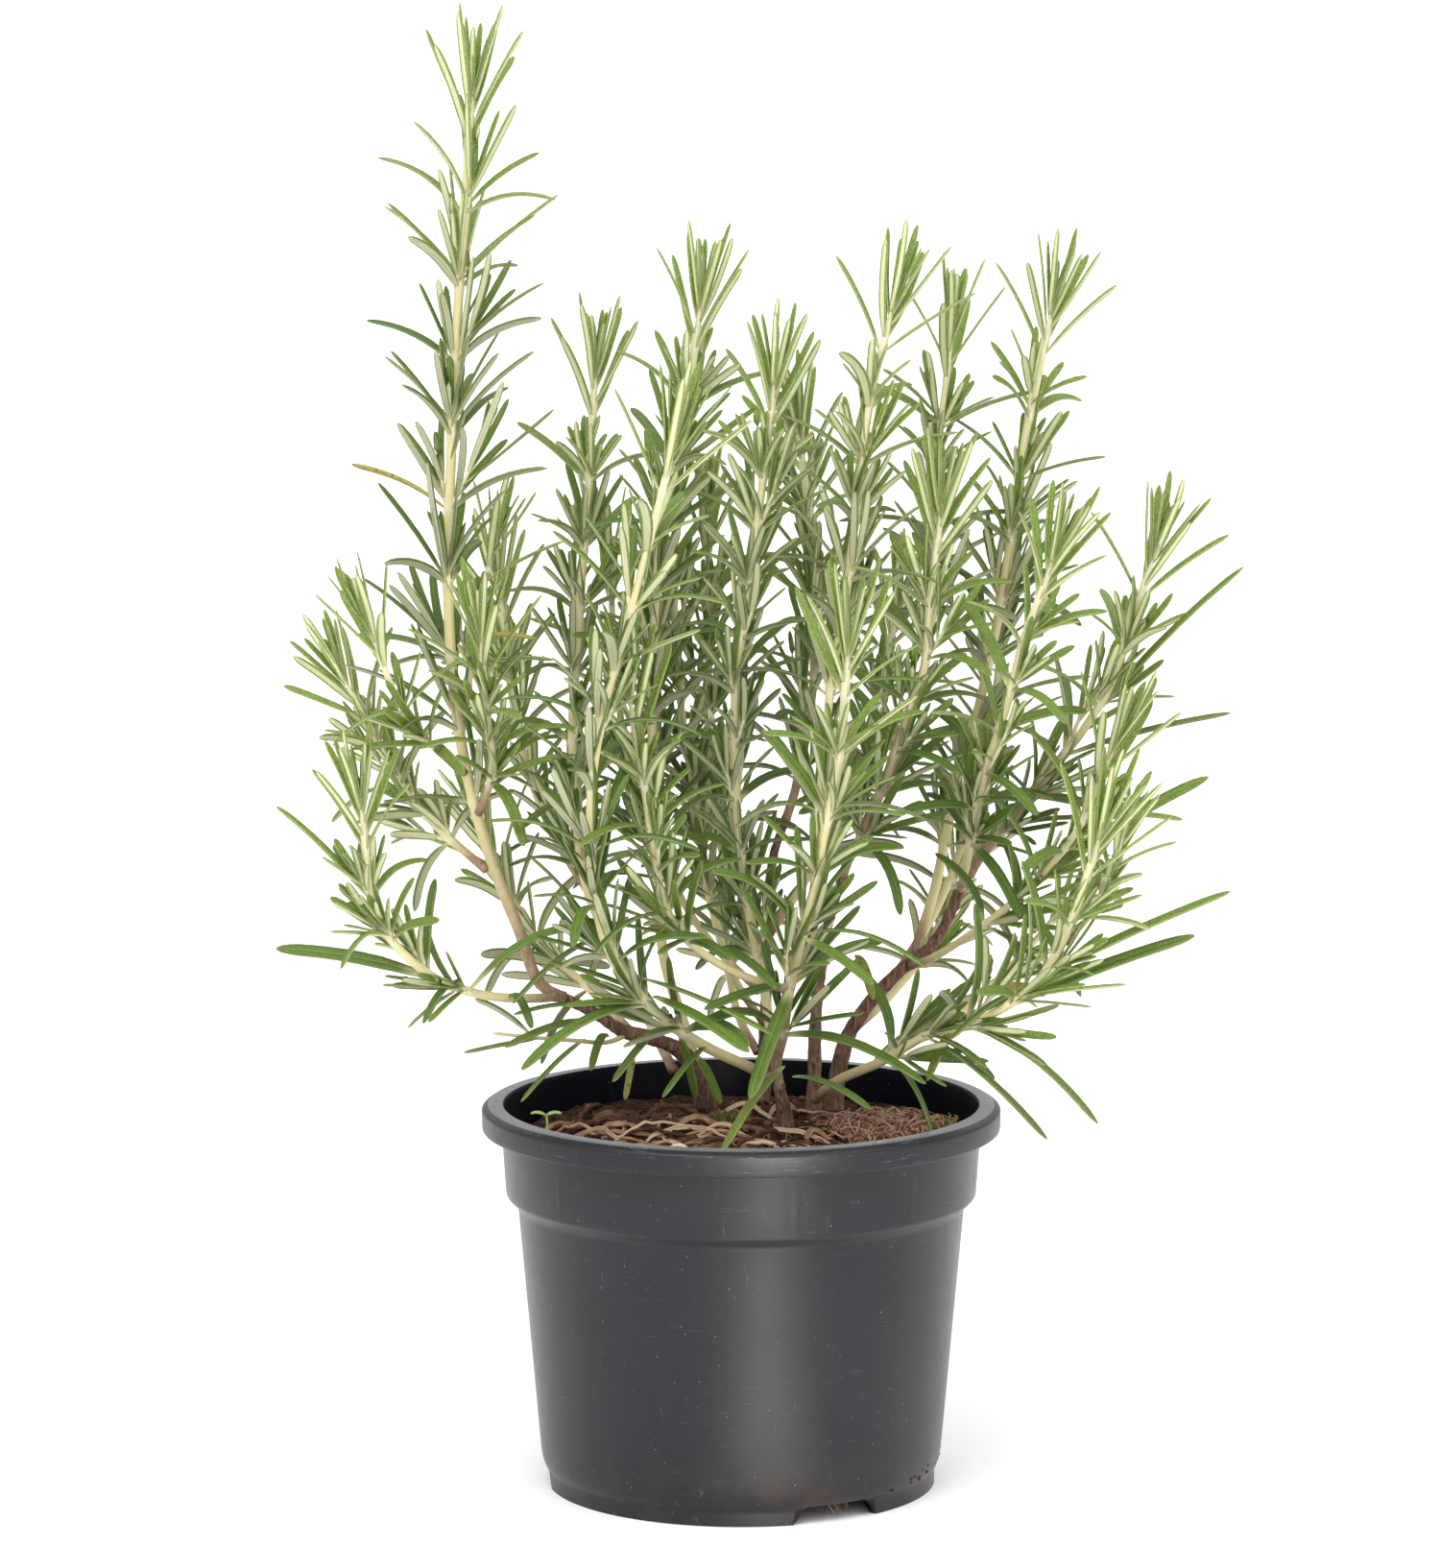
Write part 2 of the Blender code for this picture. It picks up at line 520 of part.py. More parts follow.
class Shoot:
    """One square stem: its path, its radii, the places of its leaf pairs, and its leaves."""

    def __init__(self, name, path, base, tip, turn, nodes, leaf_length=0.0):
        self.name, self.path, self.base, self.tip, self.turn = name, path, base, tip, turn
        self.nodes, self.leaf_length = nodes, leaf_length
        self.leaves = []
        self.taken = set()

    def radius(self, distance):
        return self.base + (self.tip - self.base) * min(1, distance / self.path.length)

    def band(self, k):
        return TIP_BAND if k >= len(self.nodes) - TIP_PAIRS - 1 else MAIN_BAND

    def rings(self):
        """Distances of every ring, each with the number of the leaf pair whose band starts there."""
        rings = [(0.0, None)]
        for k, place in enumerate(self.nodes):
            start = place - self.band(k) / 2
            stretch = start - rings[-1][0]
            fill = int(stretch // STRAIGHT_STEP)
            rings += [(rings[-1][0] + stretch * (i + 1) / (fill + 1), None) for i in range(fill)]
            rings += [(start, k), (place + self.band(k) / 2, None)]
        rings.append((self.path.length, None))
        return rings

    def pair_bearing(self, k):
        return math.radians(self.turn + 90 * (k % 2))

    def outward(self, k, side, swing=0.0):
        """The direction away from the stem at one of a pair's two places."""
        _, _, normal, across = self.path.frame(self.nodes[k])
        angle = self.pair_bearing(k) + math.pi * side + swing
        return math.cos(angle) * normal + math.sin(angle) * across

    def fill_space(self, space):
        stops = [distance for distance, _ in self.rings()]
        for a, b in zip(stops, stops[1:]):
            space.add(self.path.frame(a)[0], self.path.frame(b)[0], self.radius(a), self.radius(b), self.name)


def read_shoot(row, space):
    """A shoot from its row, carried on from a woody stem or started clear of the stem it leaves."""
    name, follows, rows, base, tip, bare, spacing, leaf_length, turn = row
    points = [from_rim(r) for r in rows]
    points.append(points[-1] + (points[-1] - points[-2]).normalized() * TIP_REACH)
    if follows:
        end, along = ends[follows]
        dense = smooth_path([end + along * GAP, end + along * 3 * MM] + points)
    else:
        dense = clear_start(smooth_path(points, 0.3 * MM), base * MM, space)
    path = Path(dense)
    nodes = node_places(path.length, bare * MM, spacing * MM)
    return Shoot(name, path, base * MM, tip * MM, turn, nodes, leaf_length * MM)


class Leaf:
    """A leaf's middle line as three points of a bent curve, with its width and the way its upper face looks."""

    def __init__(self, root, knee, tip, width, thickness):
        self.root, self.tip, self.width, self.thickness = root, tip, width, thickness
        self.knee = knee
        self.middle = (root + 2 * knee + tip) / 4

    def rods(self):
        reach = max(self.width, self.thickness) / 2
        return [
            (self.root.lerp(self.middle, 0.12), self.middle, reach * 0.65, reach),
            (self.middle, self.tip, reach, 0.2 * MM),
        ]

    def fits(self, space, ignore):
        if any(space.room(*rod, ignore) < CLEARANCE for rod in self.rods()):
            return False
        for point in (self.middle, self.tip):
            over_peat = math.hypot(point.x, point.y) < COLLAR_FOOT_RADIUS
            if over_peat and point.z < peat_height(point.x, point.y) + 2 * MM:
                return False
        return True

    def fill_space(self, space, owner):
        for rod in self.rods():
            space.add(*rod, owner)


def grown_leaf(shoot, k, side, draw, swing, lift, share):
    """A leaf of a pair: it leaves the stem at a slope and arches outwards."""
    centre, tangent, _, _ = shoot.path.frame(shoot.nodes[k])
    root = centre + shoot.outward(k, side) * shoot.radius(shoot.nodes[k]) * 0.7
    outward = shoot.outward(k, side, swing)
    tip_rank = k - (len(shoot.nodes) - TIP_PAIRS - 1)
    age = 1 - shoot.nodes[k] / shoot.path.length
    if tip_rank >= 0:
        slope = math.radians(34 - 7.5 * tip_rank) + 0.12 * draw[0]
        arch = 0.28 * draw[1] - 0.06 * tip_rank
        length = shoot.leaf_length * (0.98 - 0.05 * tip_rank)
        width = LEAF_WIDTH * (0.82 - 0.08 * tip_rank)
    else:
        slope = math.radians(40 + 26 * age) + 0.16 * draw[0]
        arch = 0.18 + 0.75 * draw[1] + 0.25 * age
        length = shoot.leaf_length * (0.9 + 0.14 * draw[2])
        width = LEAF_WIDTH * (0.92 + 0.16 * draw[2])
    slope += lift
    length *= share
    away = tangent * math.cos(slope) + outward * math.sin(slope)
    later = tangent * math.cos(slope + arch) + outward * math.sin(slope + arch) - UP * 0.16 * age
    knee = root + away * length * 0.5
    tip = knee + later.normalized() * length * 0.52
    return Leaf(root, knee, tip, width, LEAF_THICKNESS * width / LEAF_WIDTH)


# Places that a leaf tries in turn: swing round the stem and lift in degrees, and share of its length.
TRIES = [
    (0, 0, 1), (14, 0, 1), (-14, 0, 1), (0, 9, 1), (0, -9, 0.95), (26, 0, 1), (-26, 0, 1), (12, 12, 0.9),
    (-12, 12, 0.9), (38, 0, 0.9), (-38, 0, 0.9), (0, 20, 0.8), (0, 0, 0.66), (24, 8, 0.66), (-24, 8, 0.66),
    (0, 0, 0.48),
]


def grow_pairs(shoot, space, dice):
    """Gives each leaf of each pair the first place near its own that is clear."""
    for k in range(len(shoot.nodes)):
        for side in (0, 1):
            draw = [dice.uniform(-1, 1), dice.random(), dice.random()]
            if (k, side) in shoot.taken:
                continue
            own = f"{shoot.name}:{k}"
            for swing, lift, share in TRIES:
                leaf = grown_leaf(shoot, k, side, draw, math.radians(swing), math.radians(lift), share)
                if leaf.fits(space, (shoot.name, own)):
                    leaf.fill_space(space, own)
                    shoot.leaves.append((k, side, leaf))
                    break


def grow_single(shoot, space, distance, tip_row, width, sag):
    """A leaf drawn to a chosen tip, from the pair place that is nearest to it."""
    k = min(range(len(shoot.nodes)), key=lambda i: abs(shoot.nodes[i] - distance * MM))
    tip = from_rim(tip_row)
    centre = shoot.path.frame(shoot.nodes[k])[0]
    free = [side for side in (0, 1) if (k, side) not in shoot.taken]
    if not free:
        return
    side = max(free, key=lambda s: shoot.outward(k, s).dot(tip - centre))
    root = centre + shoot.outward(k, side) * shoot.radius(shoot.nodes[k]) * 0.7
    knee = root.lerp(tip, 0.5) + UP * 2 * sag * MM
    leaf = Leaf(root, knee, tip, width * MM, LEAF_THICKNESS)
    own = f"{shoot.name}:{k}"
    if leaf.fits(space, (shoot.name, own)):
        leaf.fill_space(space, own)
        shoot.taken.add((k, side))
        shoot.leaves.append((k, side, leaf))


def move_ring(face, old, new, scale):
    """Carries an end face from one stem frame to the next."""
    for v in face.verts:
        x, y = (v.co - old[0]).dot(old[2]), (v.co - old[0]).dot(old[3])
        v.co = new[0] + scale * (x * new[2] + y * new[3])


def side_faces(cap):
    return [f for edge in cap.edges for f in edge.link_faces if f is not cap]


def draw_out_leaf(bm, face, leaf, tangent):
    """Extrudes a side face of the stem to the leaf's middle, then to its tip."""
    middle = face.calc_center_median()
    across = tangent.cross(leaf.tip - leaf.root).normalized()
    along = (leaf.tip - leaf.root).normalized()
    upper = along.cross(across).normalized()
    made = bmesh.ops.extrude_discrete_faces(bm, faces=[face])["faces"][0]
    for v in made.verts:
        sideways = 1 if (v.co - middle).dot(across) > 0 else -1
        upwards = 1 if (v.co - middle).dot(tangent) > 0 else -1
        lift = upper if upper.dot(tangent) > 0 else -upper
        v.co = leaf.middle + across * sideways * leaf.width / 2 + lift * upwards * leaf.thickness / 2
    tip = bmesh.ops.poke(bm, faces=[made])["verts"][0]
    tip.co = leaf.tip


def shoot_mesh(shoot):
    """A square stem extruded ring by ring, with its leaves drawn out of the faces at each pair."""
    rings = shoot.rings()
    frames = [shoot.path.frame(distance) for distance, _ in rings]
    bm = bmesh.new()
    bmesh.ops.create_cube(bm, size=2)
    for v in bm.verts:
        step = 0 if v.co.z < 0 else 1
        centre, _, normal, across = frames[step]
        angle = math.atan2(v.co.y, v.co.x) + math.radians(shoot.turn)
        reach = shoot.radius(rings[step][0])
        v.co = centre + reach * (math.cos(angle) * normal + math.sin(angle) * across)
    bm.faces.ensure_lookup_table()
    cap = max(bm.faces, key=lambda f: (f.calc_center_median() - frames[0][0]).dot(frames[0][1]))
    for i in range(2, len(rings)):
        made = bmesh.ops.extrude_discrete_faces(bm, faces=[cap])["faces"][0]
        scale = shoot.radius(rings[i][0]) / shoot.radius(rings[i - 1][0])
        move_ring(made, frames[i - 1], frames[i], scale)
        cap = made
        k = rings[i - 1][1]
        if k is None:
            continue
        centre = frames[i][0].lerp(frames[i - 1][0], 0.5)
        for side in (0, 1):
            leaf = next((leaf for kk, ss, leaf in shoot.leaves if (kk, ss) == (k, side)), None)
            if leaf:
                outward = shoot.outward(k, side)
                face = max(side_faces(cap), key=lambda f: (f.calc_center_median() - centre).dot(outward))
                draw_out_leaf(bm, face, leaf, frames[i][1])
    bud = bmesh.ops.poke(bm, faces=[cap])["verts"][0]
    bud.co += frames[-1][1] * shoot.tip
    if bm.calc_volume(signed=True) < 0:
        bmesh.ops.reverse_faces(bm, faces=bm.faces)
    mesh = bpy.data.meshes.new(shoot.name)
    bm.to_mesh(mesh)
    bm.free()
    return mesh


def make_shoots(space, parent):
    shoots = {}
    for row in SHOOTS:
        shoot = read_shoot(row, space)
        shoot.fill_space(space)
        shoots[shoot.name] = shoot
    for name, distance, tip, width, sag in SINGLE_LEAVES:
        grow_single(shoots[name], space, distance, tip, width, sag)
    dice = random.Random(11)
    for shoot in shoots.values():
        grow_pairs(shoot, space, dice)
    for shoot in shoots.values():
        add_object(f"{shoot.name}_shoot", shoot_mesh(shoot), "shoot", parent)


# ---- what lies on the peat ----

def make_litter(space, parent):
    """Curled needles that lie on the peat, laid one after another where there is room."""
    for name, bearing, distance, length, curl in LITTER:
        angle = math.radians(bearing)
        for step in range(24):
            heading = math.radians(bearing * 3 + 37 * step)
            middle = Vector((distance * math.cos(angle), distance * math.sin(angle), 0)) * MM
            along = Vector((math.cos(heading), math.sin(heading), 0))
            across = Vector((-along.y, along.x, 0))
            points = []
            for t in (-1, -0.5, 0, 0.5, 1):
                p = middle + along * t * length * MM / 2 + across * curl * MM * (0.5 - t * t) / 2
                p.z = peat_height(p.x, p.y) + LITTER_RADIUS + GAP + 0.2 * MM
                points.append(p)
            rods = [(a, b, LITTER_RADIUS, LITTER_RADIUS) for a, b in zip(points, points[1:])]
            inside = all(p.to_2d().length < COLLAR_FOOT_RADIUS - 4 * MM for p in points)
            if inside and all(space.room(*rod, ()) > GAP for rod in rods):
                break
        else:
            continue
        for rod in rods:
            space.add(*rod, name)
        radii = [LITTER_RADIUS * share for share in (0.7, 1, 1, 1, 0.6)]
        curve_object(name, points, radii, "litter", parent, 4)


def make_mound(name, centre, size, parent):
    """A low dome with a flat seat on the peat."""
    bm = bmesh.new()
    bmesh.ops.create_icosphere(bm, subdivisions=2, radius=1)
    for v in bm.verts:
        x, y = centre[0] * MM + v.co.x * size[0] * MM, centre[1] * MM + v.co.y * size[1] * MM
        v.co = Vector((x, y, peat_height(x, y) + GAP + max(0, v.co.z) * size[2] * MM))
    bmesh.ops.dissolve_degenerate(bm, edges=bm.edges, dist=1e-5)
    seat = [f for f in bm.faces if all(v.co.z < peat_height(v.co.x, v.co.y) + GAP * 1.01 for v in f.verts)]
    for v in {v for f in seat for v in f.verts}:
        if all(f in seat for f in v.link_faces):
            v.co.z += 0.1 * MM
    mesh = bpy.data.meshes.new(name)
    bm.to_mesh(mesh)
    bm.free()
    return add_object(name, mesh, "fibre" if name == "fibre_mat" else "moss", parent)


def make_seedling(parent):
    """A thread of a stem with two seed leaves."""
    x, y = SEEDLING_FOOT[0] * MM, SEEDLING_FOOT[1] * MM
    foot = Vector((x, y, peat_height(x, y) + GAP))
    head = foot + Vector((0.5 * MM, 0, SEEDLING_HEIGHT))
    path = Path(smooth_path([foot, head]))
    shoot = Shoot("seedling", path, SEEDLING_RADIUS, SEEDLING_RADIUS, 90, [path.length - 1.2 * MM])
    for side in (0, 1):
        root = shoot.path.frame(shoot.nodes[0])[0] + shoot.outward(0, side) * shoot.base * 0.7
        tip = root + shoot.outward(0, side) * 5.5 * MM + UP * 1.6 * MM
        shoot.leaves.append((0, side, Leaf(root, root.lerp(tip, 0.5) + UP * MM, tip, 2.2 * MM, 0.7 * MM)))
    add_object("seedling", shoot_mesh(shoot), "seedling", parent)


def centre_over_origin(parent):
    """Moves everything so that the middle of the whole footprint is over the origin."""
    graph = bpy.context.evaluated_depsgraph_get()
    places = []
    for obj in plant.objects:
        if obj.type in ("MESH", "CURVE"):
            shown = obj.evaluated_get(graph)
            places += [shown.matrix_world @ v.co for v in shown.to_mesh().vertices]
            shown.to_mesh_clear()
    middle = [(min(p[i] for p in places) + max(p[i] for p in places)) / 2 for i in (0, 1)]
    parent.location = (-middle[0], -middle[1], 0)


clear_scene()
plant = new_collection("potted_rosemary")
cutters = new_collection("cutters")
ends = {}
stand = bpy.data.objects.new("stand", None)
plant.objects.link(stand)
room = Space()
add_pot_rim(room)
make_pot(stand)
make_root_ball(make_wood(room, stand), stand)
make_shoots(room, stand)
for mound_name, (mound_centre, mound_size) in MOUNDS.items():
    make_mound(mound_name, mound_centre, mound_size, stand)
make_litter(room, stand)
make_seedling(stand)
bpy.context.view_layer.update()
centre_over_origin(stand)
for made_object in plant.objects:
    if made_object.type == "MESH" and made_object.name in ("pot", "root_ball"):
        made_object.data.shade_smooth()
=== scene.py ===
import math
import random

import bmesh
import bpy
import numpy as np
from mathutils import Matrix, Vector, noise
from mathutils.geometry import interpolate_bezier


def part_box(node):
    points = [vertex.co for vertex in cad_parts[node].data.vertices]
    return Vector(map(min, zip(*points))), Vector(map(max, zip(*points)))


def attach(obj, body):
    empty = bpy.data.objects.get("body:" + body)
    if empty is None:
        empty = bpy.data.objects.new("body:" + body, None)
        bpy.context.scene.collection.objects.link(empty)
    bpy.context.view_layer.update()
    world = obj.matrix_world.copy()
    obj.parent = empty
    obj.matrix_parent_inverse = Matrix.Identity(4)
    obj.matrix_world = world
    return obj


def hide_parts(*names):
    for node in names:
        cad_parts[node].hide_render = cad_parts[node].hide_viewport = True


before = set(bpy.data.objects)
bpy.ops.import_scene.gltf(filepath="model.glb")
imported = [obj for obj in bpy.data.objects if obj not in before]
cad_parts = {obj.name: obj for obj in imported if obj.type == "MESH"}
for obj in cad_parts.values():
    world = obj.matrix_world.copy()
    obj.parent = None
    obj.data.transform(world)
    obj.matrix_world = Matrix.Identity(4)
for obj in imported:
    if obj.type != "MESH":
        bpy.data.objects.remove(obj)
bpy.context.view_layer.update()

# A rosemary plant in its nursery pot. Lengths in the rows are millimetres, everything else is metres.
# All pieces are modelled round the pot's own axis and then stand where the frame's pot stands.

potLow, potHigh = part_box("pot")
potAxis = Vector(((potLow.x + potHigh.x) / 2, (potLow.y + potHigh.y) / 2, 0))
mm = 0.001
gap = 0.3 * mm
up = Vector((0, 0, 1))
front = Vector((0, -1, 0))


# camera: on the same bearing and height as the eye that looks at the plant, far off with a long lens
camera = {
    "fromAxis": (-0.0057, -1.640, 0.414),
    "pitch": -7.76,  # degrees below the horizon
    "lens": 154.5,
    "sensor": 36,
    "clip": (0.05, 500),
}


def makeCamera(style):
    data = bpy.data.cameras.new("camera")
    data.lens = style["lens"]
    data.sensor_fit = "HORIZONTAL"
    data.sensor_width = style["sensor"]
    data.clip_start, data.clip_end = style["clip"]
    eye = bpy.data.objects.new("camera", data)
    eye.location = potAxis + Vector(style["fromAxis"])
    eye.rotation_euler = (math.radians(90 + style["pitch"]), 0, 0)
    bpy.context.scene.collection.objects.link(eye)
    bpy.context.scene.camera = eye


makeCamera(camera)
print("camera stands")


# shader maths: a wire is a node's output that takes part in sums
class Wire:
    def __init__(self, finish, socket):
        self.finish, self.socket = finish, socket

    def sum(self, operation, first, second):
        return self.finish.node("ShaderNodeMath", {"operation": operation}, {0: first, 1: second})

    def __add__(self, other):
        return self.sum("ADD", self, other)

    __radd__ = __add__

    def __sub__(self, other):
        return self.sum("SUBTRACT", self, other)

    def __rsub__(self, other):
        return self.sum("SUBTRACT", other, self)

    def __mul__(self, other):
        return self.sum("MULTIPLY", self, other)

    __rmul__ = __mul__

    def over(self, other):  # the larger of the two
        return self.sum("MAXIMUM", self, other)


class Finish:
    # one material, whose nodes all come from node()
    def __init__(self, name, colour, rough=0.5, gloss=0.5, ior=1.5):
        self.material = bpy.data.materials.new(name)
        self.material.use_nodes = True
        self.material.diffuse_color = (*colour, 1)
        self.tree = self.material.node_tree
        self.shader = self.tree.nodes["Principled BSDF"]
        self.shader.inputs["Base Color"].default_value = (*colour, 1)
        self.shader.inputs["Roughness"].default_value = rough
        self.shader.inputs["Specular IOR Level"].default_value = gloss
        self.shader.inputs["IOR"].default_value = ior

    def plug(self, socket, value):
        if isinstance(value, Wire):
            self.tree.links.new(value.socket, socket)
        elif isinstance(value, tuple) and len(value) == 3 and socket.type == "RGBA":
            socket.default_value = (*value, 1)
        else:
            socket.default_value = value

    def node(self, kind, settings, values, out=0):
        made = self.tree.nodes.new(kind)
        for name, value in settings.items():
            if name == "stops":
                ramp = made.color_ramp
                while len(ramp.elements) < len(value):
                    ramp.elements.new(0.5)
                for element, (place, colour) in zip(ramp.elements, value):
                    element.position = place
                    element.color = (*colour, 1)
            else:
                setattr(made, name, value)
        for name, value in values.items():
            self.plug(made.inputs[name], value)
        return Wire(self, made.outputs[out])

    def place(self, stretch=(1, 1, 1)):  # the piece's own coordinates, in metres
        where = self.node("ShaderNodeTexCoord", {}, {}, "Object")
        return self.node("ShaderNodeMapping", {}, {"Vector": where, "Scale": stretch})

    def noise(self, size, detail=3, rough=0.55, stretch=(1, 1, 1), spread=0.0):
        # size is the pattern's own, in metres
        values = {"Scale": 1 / size, "Detail": detail, "Roughness": rough, "Distortion": spread}
        return self.node("ShaderNodeTexNoise", {}, {"Vector": self.place(stretch), **values})

    def cells(self, size):
        return self.node("ShaderNodeTexVoronoi", {}, {"Vector": self.place(), "Scale": 1 / size}, "Distance")

    def value(self, name):  # a number that the mesh holds at each point
        return self.node("ShaderNodeAttribute", {"attribute_name": name}, {}, "Fac")

    def steps(self, wire, low, high, start=0.0, end=1.0):
        values = {"Value": wire, "From Min": low, "From Max": high, "To Min": start, "To Max": end}
        return self.node("ShaderNodeMapRange", {"interpolation_type": "SMOOTHSTEP"}, values)

    def ramp(self, wire, stops):
        return self.node("ShaderNodeValToRGB", {"stops": stops}, {"Fac": wire}, "Color")

    def mix(self, share, first, second):
        values = {"Factor": share, "A": first, "B": second}
        return self.node("ShaderNodeMix", {"data_type": "RGBA"}, values, "Result")

    def colour(self, wire):
        self.plug(self.shader.inputs["Base Color"], wire)

    def roughness(self, wire):
        self.plug(self.shader.inputs["Roughness"], wire)

    def bump(self, height, distance, strength=1.0):
        values = {"Height": height, "Distance": distance, "Strength": strength}
        self.plug(self.shader.inputs["Normal"], self.node("ShaderNodeBump", {}, values, "Normal"))


# leaves and stems are gathered here, then become one mesh
pointValues = ("felt", "rib", "along", "youth", "tone", "yellow", "knot")  # held at each point, 0 to 1


class Heap:
    def __init__(self):
        self.points, self.quads, self.triangles, self.finishes = [], [], [], []
        self.values = {name: [] for name in pointValues}
        self.count = 0

    def note(self, points, values):
        self.points.append(points)
        for name in pointValues:
            self.values[name].append(np.broadcast_to(np.asarray(values.get(name, 0.0), float), len(points)))
        self.count += len(points)

    def addLump(self, points, triangles, **values):
        self.triangles.append(np.asarray(triangles) + self.count)
        self.note(points, values)

    def addTube(self, rings, finish=0, **values):
        # rings is (stations, an even number of points, 3), closed at both ends
        stations, around = rings.shape[:2]
        start = np.arange((stations - 1) * around).reshape(-1, around)
        after = np.roll(start, -1, axis=1)
        wall = np.stack([start, after, after + around, start + around], axis=-1).reshape(-1, 4)
        j = np.arange(around // 2 - 1)
        cap = np.stack([j, around - 1 - j, around - 2 - j, j + 1], axis=-1)
        faces = np.vstack([wall, cap, cap[:, ::-1] + (stations - 1) * around])
        self.quads.append(faces + self.count)
        self.finishes.append(np.full(len(faces), finish))
        flat = {
            name: np.broadcast_to(np.asarray(value, float), (stations, around)).reshape(-1)
            for name, value in values.items()
        }
        self.note(rings.reshape(-1, 3), flat)

    def piece(self, name, finishes, replaced=(), slot=None):
        quads = np.vstack(self.quads) if self.quads else np.zeros((0, 4), int)
        triangles = np.vstack(self.triangles) if self.triangles else np.zeros((0, 3), int)
        corners = np.concatenate([quads.reshape(-1), triangles.reshape(-1)])
        starts = np.concatenate([np.arange(len(quads)) * 4, quads.size + np.arange(len(triangles)) * 3])
        mesh = bpy.data.meshes.new(name)
        mesh.vertices.add(self.count)
        mesh.vertices.foreach_set("co", np.vstack(self.points).reshape(-1))
        mesh.loops.add(len(corners))
        mesh.loops.foreach_set("vertex_index", corners)
        mesh.polygons.add(len(starts))
        mesh.polygons.foreach_set("loop_start", starts)
        mesh.update(calc_edges=True)
        for finish in finishes:
            mesh.materials.append(finish.material)
        if len(finishes) > 1:
            mesh.polygons.foreach_set("material_index", np.concatenate(self.finishes))
        for value in pointValues:
            numbers = np.concatenate(self.values[value])
            if numbers.any():
                mesh.attributes.new(value, "FLOAT", "POINT").data.foreach_set("value", numbers)
        mesh.shade_smooth()
        standing(name, mesh, replaced)


def standing(name, mesh, replaced=()):
    # a piece modelled round the pot's axis, put where the pot is
    made = bpy.data.objects.new(name, mesh)
    made.location = potAxis
    bpy.context.scene.collection.objects.link(made)
    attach(made, "root")
    if replaced:
        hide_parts(*replaced)


def pieceName(node):  # left_wood becomes leftWood
    first, *words = node.split("_")
    return first + "".join(word.capitalize() for word in words)


def atBearing(angle, reach, height):  # the angle is taken from the front towards +X
    return reach * math.sin(angle), -reach * math.cos(angle), height


def unit(rows):
    return rows / np.maximum(np.linalg.norm(rows, axis=-1, keepdims=True), 1e-12)


def turnedAbout(axis, rows, angle):
    # rows turned about the axis row by row, by an angle for each
    c, s = np.cos(angle)[:, None], np.sin(angle)[:, None]
    dot = np.sum(axis * rows, axis=1, keepdims=True)
    return rows * c + np.cross(axis, rows) * s + axis * dot * (1 - c)


def tubeRings(path, radii, around=8, startSide=(0.31, 0.77, 0.55)):
    # round rings along a path of points, without twist
    path = np.asarray(path, float)
    along = unit(np.gradient(path, axis=0))
    side = np.asarray(startSide, float)
    angles = np.linspace(0, 2 * math.pi, around, endpoint=False)
    rings = []
    for point, way, radius in zip(path, along, np.broadcast_to(radii, len(path))):
        side = side - way * side.dot(way)
        side = side / np.linalg.norm(side)
        other = np.cross(way, side)
        rings.append(point + radius * (np.cos(angles)[:, None] * side + np.sin(angles)[:, None] * other))
    return np.array(rings)


# the pot
pot = {
    "height": 104 * mm,
    "rimRadius": 70 * mm,
    "rimBand": 7 * mm,
    "wall": 1.2 * mm,
    "collarTop": 65 * mm,
    "collarFoot": 63.3 * mm,
    "collarHeight": 25 * mm,
    "shoulder": 2.5 * mm,
    "bodyTop": 60.3 * mm,
    "bodyFoot": 54 * mm,
    "footRadius": 52.5 * mm,
    "footHeight": 5 * mm,
    "footWidth": 1.8 * mm,
    "gaps": 3,
    "gapBearing": 29,  # degrees from the front towards +X
    "gapArc": 19,
    "drainRadius": 5 * mm,
    "drainReach": 40 * mm,  # from the axis
    "steps": 480,
    "mouldLines": (-49, -20, 13, 44, 78, 131, 167, -152, -118, -83),  # bearings of faint ribs on the collar
    "mouldSpan": (1.5 * mm, 13 * mm),  # above the collar's foot
    "mouldRise": 0.13 * mm,
    "colour": (0.016, 0.017, 0.020),
    # the inside is the same plastic, painted darker and bluer: painted shade
    "inside": (0.0025, 0.0035, 0.008),
    "dust": (0.40, 0.41, 0.43),
    "dirt": (0.16, 0.085, 0.045),
}


